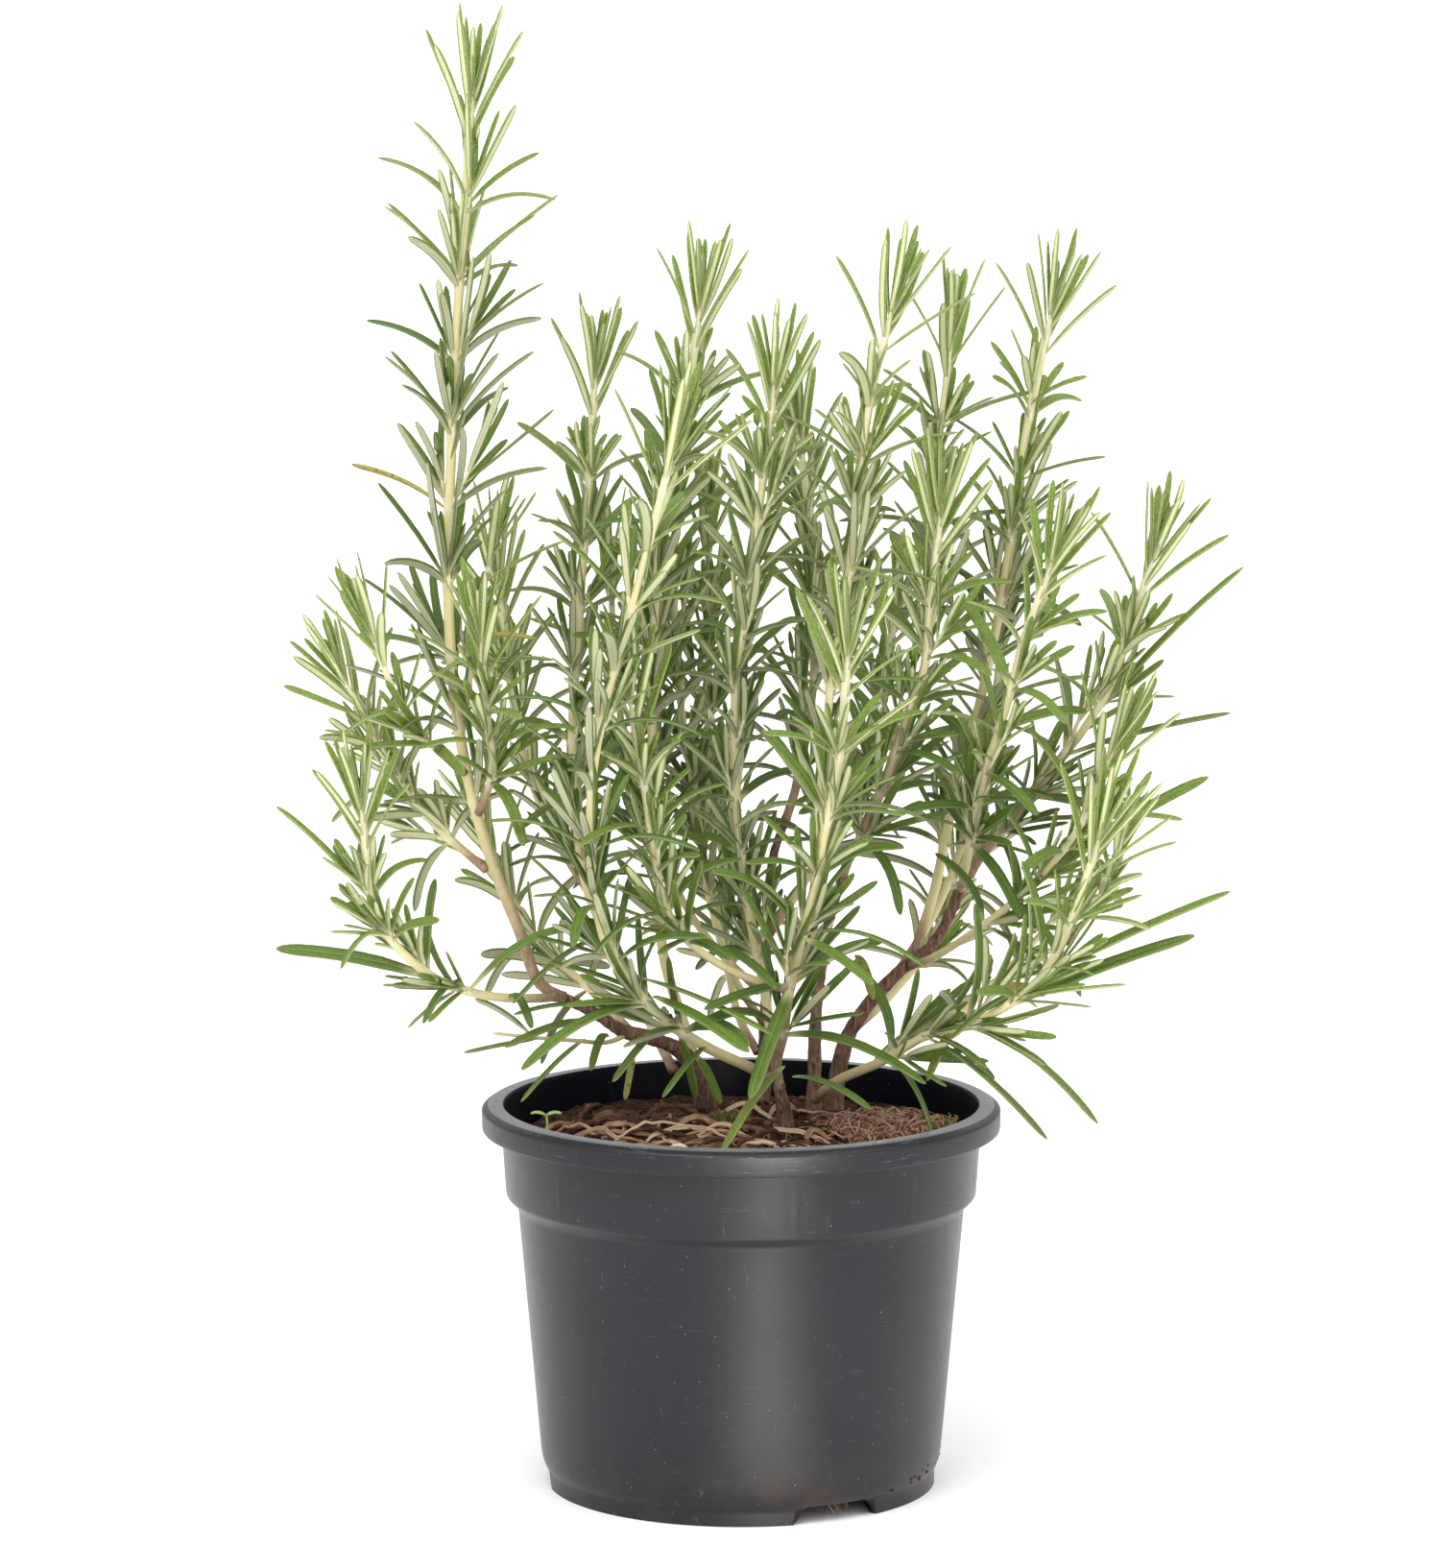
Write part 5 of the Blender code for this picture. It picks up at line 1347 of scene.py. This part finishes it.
def addBud(heap, shoot, dice):
    # the youngest leaves, upright round the tip and almost as tall as the older ones
    end, tangent, normal, across = shoot.path.frame(shoot.path.length)
    for pair, (share, slope, drop) in enumerate(budPairs):
        angle = math.radians(shoot.turn + 90 * ((len(shoot.nodes) + pair) % 2) + dice.uniform(-9, 9))
        for half in (0, 1):
            out = math.cos(angle + math.pi * half) * normal + math.sin(angle + math.pi * half) * across
            tilt = math.radians(slope + dice.uniform(-2.5, 3.5))
            root = end - tangent * drop * mm + out * shoot.tip * 0.3
            away = tangent * math.cos(tilt) + out * math.sin(tilt)
            length = shoot.leafLength * share * dice.uniform(0.88, 1.0) * 0.9
            knee = root + away * length * 0.5
            tip = root + away * length + out * dice.uniform(-0.3, 0.9) * mm
            young = Leaf(root, knee, tip, (1.5 + 0.6 * share) * mm, 0.9 * mm)
            tone, roll = dice.random(), (dice.uniform(-0.25, 0.25), 0)
            addLeaf(heap, young, tangent, 1, tone, 0, roll, 0, leafLook["tuftStations"])


# more leaves low down, drawn one by one: shoot they belong to, root, tip, width, sag, share of yellow
lowLeaves = [
    ("left_low", (-39, -14, 47), (-59, -26, 34), 4.2, 2, 0),
    ("left_low", (-40, -14, 29), (-59, -22, 29), 3.0, 1, 0),
    ("left_low", (-42, -14, 25), (-61, -30, 22), 4.0, 1, 0),
    ("left_low", (-57, -11, 21), (-70, -14, 31), 3.2, 1, 0),
    ("left_low", (-42, -16, 20), (-57, -35, 9), 2.3, 1, 0),
    ("left_low", (-36, 0, 18), (-40, -11, 13), 2.6, 3, 0),
    ("left_low", (-41, -14, 24), (-49, -23, 16), 2.6, 2, 0),
    ("left_low", (-54, -14, 20), (-72, -30, 20), 1.9, 0, 0),
    ("front_left", (-22, -16, 23), (-33, -34, 14), 3.2, 1, 0),
    ("front_left", (-29, -4, 14), (-31, -9, 4), 2.2, 0, 0.6),
    ("front_left", (-12, 4, 12), (-6, -7, 3), 2.6, 1, 0),
    ("front_left", (-27, -24, 38), (5, -45, 30), 3.8, 2, 0),
    ("front_left", (-23, -24, 33), (0, -50, 26), 4.2, 2, 0),
    ("front_right", (13, -25, 35), (3, -47, 13), 4.5, 1, 0),
    ("front_right", (11, -13, 12), (-4, -49, -1), 4.1, 2, 0.25),
    ("front_right", (14, -11, 9), (33, -27, 5), 3.0, 2, 0),
    ("front_right", (17, -34, 50), (33, -52, 43), 3.2, 1, 0),
    ("right_low", (71, -31, 35), (56, -44, 27), 4.0, 1, 0),
    ("right_low", (50, -20, 23), (40, -30, 17), 4.1, 0, 0),
    ("right_low", (58, -26, 27), (53, -30, 36), 3.2, 1, 0),
    ("right_inner", (31, 0, 40), (35, -10, 32), 3.0, 2, 0.4),
    ("front_inner", (-6, -20, 45), (8, -40, 40), 3.0, 2, 0),
    ("right_low", (47, -20, 20), (63, -40, 12), 3.4, 2, 0),
    ("front_left", (-9, -12, 18), (-20, -30, 9), 2.8, 1, 0),
    ("right_trail", (60, -8, 26), (50, -24, 13), 3.0, 2, 0.5),
    ("left_low", (-62, -14, 31), (-56, -26, 24), 2.6, 1, 0),
]


def addLowLeaves(heap, shoot, dice):
    for name, rootRow, tipRow, width, sag, yellow in lowLeaves:
        tone, lean = dice.random(), dice.uniform(-0.3, 0.3)
        if name != shoot.name:
            continue
        root, tip = fromRim(rootRow), fromRim(tipRow)
        for lift in (0, 1, -1, 2, -2, 3):
            knee = root.lerp(tip, 0.5) + up * 2 * (sag + lift) * mm
            leaf = Leaf(root, knee, tip + up * lift * mm, width * mm, leafForm["thickness"])
            if leaf.fits(space, (shoot.name,), 0.0):
                leaf.fillSpace(space, f"{shoot.name}:low")
                addLeaf(heap, leaf, up, 0.12, tone, yellow, (lean, 0.2), 0, leafLook["stations"])
                break


# a thin branch low on the left, with listed leaves only
sideTwig = [(-30, 10, 17), (-36, 2, 16), (-44, -7, 18), (-54, -14, 20), (-60, -16, 21), (-66, -18, 22)]

# shoot, pair and side of the leaves that have turned yellow
yellowLeaves = {
    ("left_tall", 2, 0), ("left_tall", 4, 1), ("right_low", 1, 0), ("front_inner", 0, 1),
    ("right_trail", 0, 0),
}


def makeShoots():
    finishes = [makeLeafFinish(leafLook), makeStemFinish(stemLook)]
    leafDice, tuftDice = random.Random(leafLook["dice"]), random.Random(tuft["dice"])
    lowDice = random.Random(leafLook["lowDice"])
    for shoot in shoots.values():
        heap = Heap()
        addStem(heap, shoot)
        for k, side, leaf in shoot.leaves:
            stemWay = shoot.path.frame(shoot.nodes[k])[1]
            fromTip = shoot.path.length - shoot.nodes[k]
            youth = min(1, max(0, 1.12 - fromTip / (62 * mm)))
            tone = leafDice.random()
            roll = (leafDice.gauss(0, 0.16), leafDice.gauss(0, 0.22))
            bow = leafDice.uniform(-0.7, 0.7) * mm
            yellow = 1.0 if (shoot.name, k, side) in yellowLeaves else 0.0
            addLeaf(heap, leaf, stemWay, youth, tone, yellow, roll, bow, leafLook["stations"])
        addLowLeaves(heap, shoot, lowDice)
        if shoot.name == "left_low":
            path = smoothPath([fromRim(row) for row in sideTwig])
            rings = tubeRings(path, np.linspace(0.72, 0.45, len(path)) * mm, 10)
            heap.addTube(rings, 1, youth=0.3, knot=0.1, yellow=0.2)
        for k in range(shoot.firstTip):
            for side in (0, 1):
                growTuft(heap, shoot, k, side, tuftDice)
        addBud(heap, shoot, leafDice)
        node = f"{shoot.name}_shoot"
        heap.piece(pieceName(node), finishes, [node], "shoot")


makeShoots()
print("shoots made")


# fallen needles, curled and dry
litter = {
    "bearings": (150, 300),  # degrees from +X, the side where most of them lie
    "count": 62,
    "strays": 20,
    "reach": (14, 52),  # from the pot's axis
    "length": (11, 27),
    "width": (1.1, 1.9),
    "lift": (0.3, 3.6),  # of the middle off the peat
    "tones": (0.0, 0.15, 0.35, 0.6, 0.9, 1.2),
    "stations": 13,
    "dice": 77,
    "pale": (0.78, 0.57, 0.39),
    "tan": (0.38, 0.20, 0.115),
    "brown": (0.075, 0.030, 0.018),
}


def makeLitterFinish(style):
    finish = Finish("dryNeedle", style["brown"], 0.8, 0.3)
    tone, rib = finish.value("tone"), finish.value("rib")
    blotch = finish.noise(2.5 * mm, 4, 0.6)
    fine = finish.noise(0.25 * mm, 3, 0.6)
    age = finish.steps(tone + blotch * 0.7, 0.25, 1.35)
    colour = finish.ramp(age, [(0.1, style["brown"]), (0.55, style["tan"]), (0.95, style["pale"])])
    colour = finish.mix(finish.steps(fine, 0.5, 0.75) * 0.4, colour, (0.12, 0.060, 0.035))
    finish.colour(finish.mix(rib * 0.6, colour, (0.07, 0.032, 0.02)))
    finish.bump(fine + blotch * 0.5, 0.2 * mm, 0.7)
    return finish


def makeLitter(style):
    dice = random.Random(style["dice"])
    heap = Heap()
    half = np.array([(0, 0.35), (0.3, 0.75), (0.75, 0.7), (1, 0.1), (0.75, -0.55), (0.3, -0.8)])
    shape = np.vstack([half, [(0, -0.85)], half[:0:-1] * (-1, 1)])
    ribs = np.exp(-((shape[:, 0] / 0.25) ** 2)) * (shape[:, 1] > 0)
    stations = np.linspace(0, 1, style["stations"])
    for i in range(style["count"] + style["strays"]):
        if i < style["count"]:
            angle = math.radians(dice.uniform(*style["bearings"]))
            reach = dice.uniform(*style["reach"]) * mm
            x, y = reach * math.cos(angle), reach * math.sin(angle)
        else:
            x, y = onPeat(dice, 54 * mm)
        length = dice.uniform(*style["length"]) * mm
        width = dice.uniform(*style["width"]) * mm
        heading = dice.choice((dice.uniform(0, 2 * math.pi), dice.gauss(0, 0.5), dice.gauss(math.pi, 0.5)))
        curl = dice.choice((-1, 1)) * dice.choice((dice.uniform(0.3, 1.2), dice.uniform(1.0, 3.2)))
        lift = dice.uniform(*style["lift"]) * mm
        tone = dice.choice(style["tones"]) * dice.uniform(0.8, 1.1)
        step = length / (style["stations"] - 1)
        path = []
        for s in stations:
            path.append((x, y))
            x += step * math.cos(heading + curl * (s - 0.5))
            y += step * math.sin(heading + curl * (s - 0.5))
        if max(math.hypot(*p) for p in path) > 58.5 * mm:
            continue
        rise = [peatTop(*p) + 0.5 * mm + lift * math.sin(math.pi * s) ** 2 for p, s in zip(path, stations)]
        line = np.array([(*p, z) for p, z in zip(path, rise)])
        along = unit(np.gradient(line, axis=0))
        across = unit(np.cross(np.array([0, 0, 1.0]), along))
        across = turnedAbout(along, across, dice.uniform(-0.6, 0.6) + dice.uniform(-1.4, 1.4) * stations)
        normal = np.cross(along, across)
        wide = (np.sin(np.clip(stations * 0.94 + 0.04, 0, 1) * math.pi) ** 0.45)[:, None] * width / 2
        rings = line[:, None] + across[:, None] * (wide * shape[:, 0])[..., None]
        rings = rings + normal[:, None] * (wide * shape[:, 1])[..., None] * 0.9
        heap.addTube(rings[:, ::-1], tone=tone, rib=ribs[::-1])
    nodes = [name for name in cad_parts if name.startswith(("fallen_needle", "root_curl"))]
    heap.piece("fallenNeedles", [makeLitterFinish(style)], nodes, "litter")


makeLitter(litter)
print("needles laid")


# mounds, the fibre mat and the moss: centre and half sizes
mounds = {
    "fibre_mat": ((41, -3), (19, 15, 5)),
    "moss_front": ((34, -33), (7, 5, 2.5)),
    "moss_right": ((56, 14), (5, 6, 3.5)),
    "moss_back": ((-4, 8), (6, 5, 3)),
}


def makeFibreFinish():
    finish = Finish("fibreMat", (0.22, 0.11, 0.06), 0.95, 0.2)
    tone = finish.value("tone")
    coarse = finish.noise(2.2 * mm, 5, 0.7)
    fine = finish.noise(0.35 * mm, 4, 0.7)
    # the dark end of this ramp falls where the bump is lowest: painted shade in the mat's crevices; the paler
    # tones are the mat's own colour
    colour = finish.ramp(
        coarse, [(0.36, (0.055, 0.025, 0.016)), (0.48, (0.25, 0.115, 0.068)), (0.63, (0.66, 0.42, 0.28))]
    )
    colour = finish.mix(tone * tone * 0.8, colour, (0.80, 0.58, 0.42))
    finish.colour(finish.mix(finish.steps(fine, 0.52, 0.72) * 0.4, colour, (0.09, 0.042, 0.025)))
    finish.bump(coarse + fine * 0.6, 0.7 * mm, 0.9)
    return finish


def makeMossFinish(name, dark):
    finish = Finish(name, (0.17, 0.22, 0.035), 0.85)
    tone, along = finish.value("tone"), finish.value("along")
    low = finish.ramp(tone, [(0.0, (0.075, 0.075, 0.016)), (1.0, (0.26, 0.20, 0.045))])
    high = finish.ramp(tone, [(0.0, (0.24, 0.27, 0.045)), (1.0, (0.62, 0.50, 0.18))])
    finish.colour(finish.mix(dark, finish.mix(along, low, high), (0.035, 0.065, 0.010)))
    finish.bump(finish.noise(0.2 * mm, 3), 0.15 * mm, 0.5)
    return finish


def moundTop(name, x, y):
    centre, size = mounds[name]
    across = math.hypot((x / mm - centre[0]) / size[0], (y / mm - centre[1]) / size[1])
    return max(0, 1 - across ** 2) ** 0.5 * size[2] * mm


def onMound(name, dice):
    (cx, cy), (wide, deep, _) = mounds[name]
    r, a = math.sqrt(dice.random()), dice.uniform(0, 2 * math.pi)
    return (cx + r * wide * math.cos(a)) * mm, (cy + r * deep * math.sin(a)) * mm


fibreMat = {"rings": 26, "steps": 72, "strands": 260, "crumbs": 130, "dice": 9}


def makeFibreMat(style):
    def top(x, y):
        return peatHeight(x, y) + moundTop("fibre_mat", x, y) * 0.95

    dice = random.Random(style["dice"])
    centre, size = mounds["fibre_mat"]
    heap = Heap()
    rings = []
    for i in range(style["rings"]):
        share = max(0.01, i / (style["rings"] - 1))
        ring = []
        for j in range(style["steps"]):
            a = 2 * math.pi * j / style["steps"]
            edge = 0.94 + 0.12 * noise.noise(Vector((math.cos(a) * 2, math.sin(a) * 2, 4)))
            x = (centre[0] + share * edge * size[0] * math.cos(a)) * mm
            y = (centre[1] + share * edge * size[1] * math.sin(a)) * mm
            p = Vector((x, y, 0)) / mm
            rough = noise.noise(p / 4.5) * 1.3 + noise.noise(p / 1.9) * 0.9 + noise.noise(p / 0.9) * 0.5
            ring.append((x, y, top(x, y) + rough * mm * (1 - share ** 4) + 0.3 * mm))
        rings.append(ring)
    rings.append([(x, y, peatHeight(x, y) - 1.5 * mm) for x, y, z in rings[-1]])
    cx, cy = centre[0] * mm, centre[1] * mm
    rings.append([((x - cx) * 0.1 + cx, (y - cy) * 0.1 + cy, z) for x, y, z in rings[-1]])
    heap.addTube(np.array(rings)[:, ::-1])
    for _ in range(style["strands"]):
        x, y = onMound("fibre_mat", dice)
        heading, bend = dice.uniform(0, 2 * math.pi), dice.uniform(-0.35, 0.35)
        length, radius = dice.uniform(3, 13) * mm, dice.uniform(0.10, 0.26) * mm
        path = []
        arc = dice.uniform(0.4, 2.6) * mm
        for i in range(9):
            if math.hypot(x, y) < 59 * mm:
                path.append((x, y, top(x, y) + 0.6 * mm + arc * math.sin(math.pi * i / 8)))
            x += length / 8 * math.cos(heading)
            y += length / 8 * math.sin(heading)
            heading += bend
        if len(path) > 4:
            heap.addTube(tubeRings(path, radius, 6), tone=dice.random())
    for _ in range(style["crumbs"]):
        x, y = onMound("fibre_mat", dice)
        radius = dice.uniform(0.5, 1.5) * mm
        addCrumb(heap, dice, radius, (x, y, top(x, y) + radius * 0.5), (0, 0.5))
    heap.piece("fibreMat", [makeFibreFinish()], ["fibre_mat"], "fibre")


# name of the finish, share of dark green, count of tiny shoots
moss = {
    "moss_front": ("darkMoss", 0.55, 110),
    "moss_right": ("yellowMoss", 0.0, 90),
    "moss_back": ("shadedMoss", 0.65, 90),
}


def makeMoss(name, finishName, dark, count):
    # a cushion of tiny leafy shoots
    dice = random.Random(len(name))
    heap = Heap()
    for _ in range(count):
        x, y = onMound(name, dice)
        if math.hypot(x, y) > 60.5 * mm:
            continue
        foot = Vector((x, y, peatTop(x, y) - 0.3 * mm))
        tall = (0.9 + moundTop(name, x, y) / mm * 0.75) * dice.uniform(0.7, 1.15) * mm
        lean = Vector((dice.uniform(-0.4, 0.4), dice.uniform(-0.4, 0.4), 1)).normalized()
        path = [foot + lean * tall * s for s in (0, 0.35, 0.7, 1)]
        tone = dice.random()
        rings = tubeRings(path, np.array([0.22, 0.42, 0.34, 0.05]) * mm * dice.uniform(0.8, 1.3), 6)
        heap.addTube(rings, along=np.array([[0], [0.4], [0.8], [1]]), tone=tone)
        for _ in range(5):
            turn = dice.uniform(0, 2 * math.pi)
            out = Vector((math.cos(turn), math.sin(turn), 0.7)).normalized()
            base = foot + lean * tall * dice.uniform(0.4, 0.95)
            blade = [base + out * reach * mm for reach in (0, 0.35, 0.75, 1.1)]
            rings = tubeRings(blade, np.array([0.10, 0.16, 0.11, 0.02]) * mm, 4)
            heap.addTube(rings, along=np.array([[0.5], [0.7], [0.9], [1]]), tone=tone)
    heap.piece(pieceName(name), [makeMossFinish(finishName, dark)], [name], "moss")


makeFibreMat(fibreMat)
for mossName, mossRow in moss.items():
    makeMoss(mossName, *mossRow)
print("fibre mat and moss made")


# the seedling inside the rim
seedling = {
    "foot": (-53, -4),
    "height": 8 * mm,
    "radius": 0.34 * mm,
    "reach": 4.0 * mm,
    "colour": (0.40, 0.60, 0.19),
}


def makeSeedling(style):
    finish = Finish("seedling", style["colour"])
    shade = finish.noise(1.5 * mm, 3)
    finish.colour(finish.ramp(shade, [(0.35, (0.30, 0.50, 0.13)), (0.65, (0.52, 0.70, 0.28))]))
    finish.bump(finish.noise(0.3 * mm, 3), 0.1 * mm, 0.4)
    x, y = style["foot"][0] * mm, style["foot"][1] * mm
    foot = Vector((x, y, peatTop(x, y) - 0.5 * mm))
    head = Vector((x + 0.5 * mm, y, peatHeight(x, y) + style["height"] - 1.2 * mm))
    heap = Heap()
    path = [foot.lerp(head, t) + Vector((math.sin(t * 3) * 0.5 * mm, 0, 0)) for t in np.linspace(0, 1, 9)]
    heap.addTube(tubeRings([tuple(p) for p in path], style["radius"], 8))
    for half in (-1, 1):
        out = Vector((0.98 * half, 0.1, 0))
        tip = head + out * style["reach"] + up * 1.4 * mm
        leaf = Leaf(head.copy(), head.lerp(tip, 0.5) + up * 0.9 * mm, tip, 2.3 * mm, 0.6 * mm)
        addLeaf(heap, leaf, up, 0, 0.5, 0, (0.1 * half, 0), 0, leafLook["stations"])
    heap.piece("seedling", [finish], ["seedling"], "seedling")


makeSeedling(seedling)


# root hairs and crumbs that came out through the drainage gap, and dirt at the pot's edge
grit = {
    "hairs": 9,
    "hairLength": (2.2, 3.8),
    "crumbs": 26,
    "crumbRadius": (0.28, 0.75),
    "inGap": 8,  # of the crumbs; the others lie along the foot of the wall on the right
    "wallBearings": (48, 96),
    "dice": 3,
}


def makeGrit(style):
    dice = random.Random(style["dice"])
    heap = Heap()
    for _ in range(style["hairs"]):
        angle = math.radians(pot["gapBearing"] + dice.uniform(-6, 6))
        reach = pot["footRadius"] - dice.uniform(1.5, 4) * mm
        start = Vector(atBearing(angle, reach, pot["footHeight"] - 0.3 * mm))
        sideways = math.sin(angle) * 0.35 + dice.uniform(-0.5, 0.5)
        way = Vector((sideways, -math.cos(angle) * 0.35, -1)).normalized()
        length = dice.uniform(*style["hairLength"]) * mm
        bend = Vector((dice.uniform(-1, 1), 0, 0)) * 0.8 * mm
        path = [tuple(start + way * length * t + bend * t * t) for t in np.linspace(0, 1, 7)]
        heap.addTube(tubeRings(path, np.linspace(0.22, 0.08, 7) * mm, 6), tone=dice.uniform(0.3, 1))
    for i in range(style["crumbs"]):
        if i < style["inGap"]:
            angle = math.radians(pot["gapBearing"] + dice.uniform(-8, 9))
            reach = pot["footRadius"] - dice.uniform(1, 6) * mm
            height = pot["footHeight"] - 0.5 * mm
        else:
            angle = math.radians(dice.uniform(*style["wallBearings"]))
            height = dice.uniform(5.2, 9) * mm
            reach = pot["bodyFoot"] - 0.7 * mm + (height - 5 * mm) * 0.16
        radius = dice.uniform(*style["crumbRadius"]) * mm
        addCrumb(heap, dice, radius, atBearing(angle, reach, height), (0.2, 1))
    heap.piece("gapGrit", [crumbFinish], slot="peat")


makeGrit(grit)
print("seedling and grit made")


# floor and light
studio = {
    "floor": (0.94, 0.94, 0.94),
    "floorSize": 240,
    "world": 0.74,
    # kind, place, aim, strength, then what else is set on the lamp
    "lamps": {
        "sun0": ("SUN", (-0.55, -0.75, 1.25), (0, 0, 0), 1.60, {"angle": math.radians(40)}),
        "sun1": ("SUN", (0.75, -0.45, 1.3), (0, 0, 0), 0.95, {"angle": math.radians(60)}),
        "sun2": ("SUN", (0.1, 0.8, 1.0), (0, 0, 0), 0.65, {"angle": math.radians(60)}),
        "sun3": ("SUN", (0.15, -1.0, 0.35), (0, 0, 0), 0.90, {"angle": math.radians(50)}),
        # a low soft panel in front on the right, seen only in what is glossy
        "panel": ("AREA", (0.24, -1.0, 0.115), (0, 0, 0.06), 8, {
            "shape": "RECTANGLE", "size": 0.24, "size_y": 0.24, "color": (1, 0.95, 0.88),
        }),
        # a strip of brighter floor in front, which the sloping wall of the pot reflects
        "strip": ("AREA", (0.043, -0.265, 0.45), (0.043, -0.265, 0), 0.19, {
            "shape": "RECTANGLE", "size": 0.055, "size_y": 0.33, "spread": math.radians(8),
            "color": (1, 0.94, 0.82),
        }),
    },
    "glossOnly": "panel",
    "turned": {"strip": 10},  # degrees about its own axis
}


def addLamp(name, kind, place, aim, strength, others):
    data = bpy.data.lights.new(name, kind)
    data.energy = strength
    for key, value in others.items():
        setattr(data, key, value)
    lamp = bpy.data.objects.new(name, data)
    lamp.location = place
    lamp.rotation_euler = (Vector(aim) - Vector(place)).to_track_quat("-Z", "Y").to_euler()
    lamp.rotation_euler.z += math.radians(studio["turned"].get(name, 0))
    lamp.visible_camera = False
    lamp.visible_diffuse = name != studio["glossOnly"]
    bpy.context.scene.collection.objects.link(lamp)


def makeStudio(style):
    bpy.ops.mesh.primitive_plane_add(size=style["floorSize"])
    floor = bpy.context.object
    floor.name = "floor"
    floor.data.materials.append(Finish("paleFloor", style["floor"], 0.9, 0.0).material)
    world = bpy.data.worlds.new("studio")
    world.use_nodes = True
    sky = world.node_tree.nodes["Background"]
    sky.inputs["Color"].default_value = (1, 1, 1, 1)
    sky.inputs["Strength"].default_value = style["world"]
    bpy.context.scene.world = world
    for name, row in style["lamps"].items():
        addLamp(name, *row)
    bpy.context.scene.view_settings.view_transform = "Standard"


makeStudio(studio)
print("studio lit")
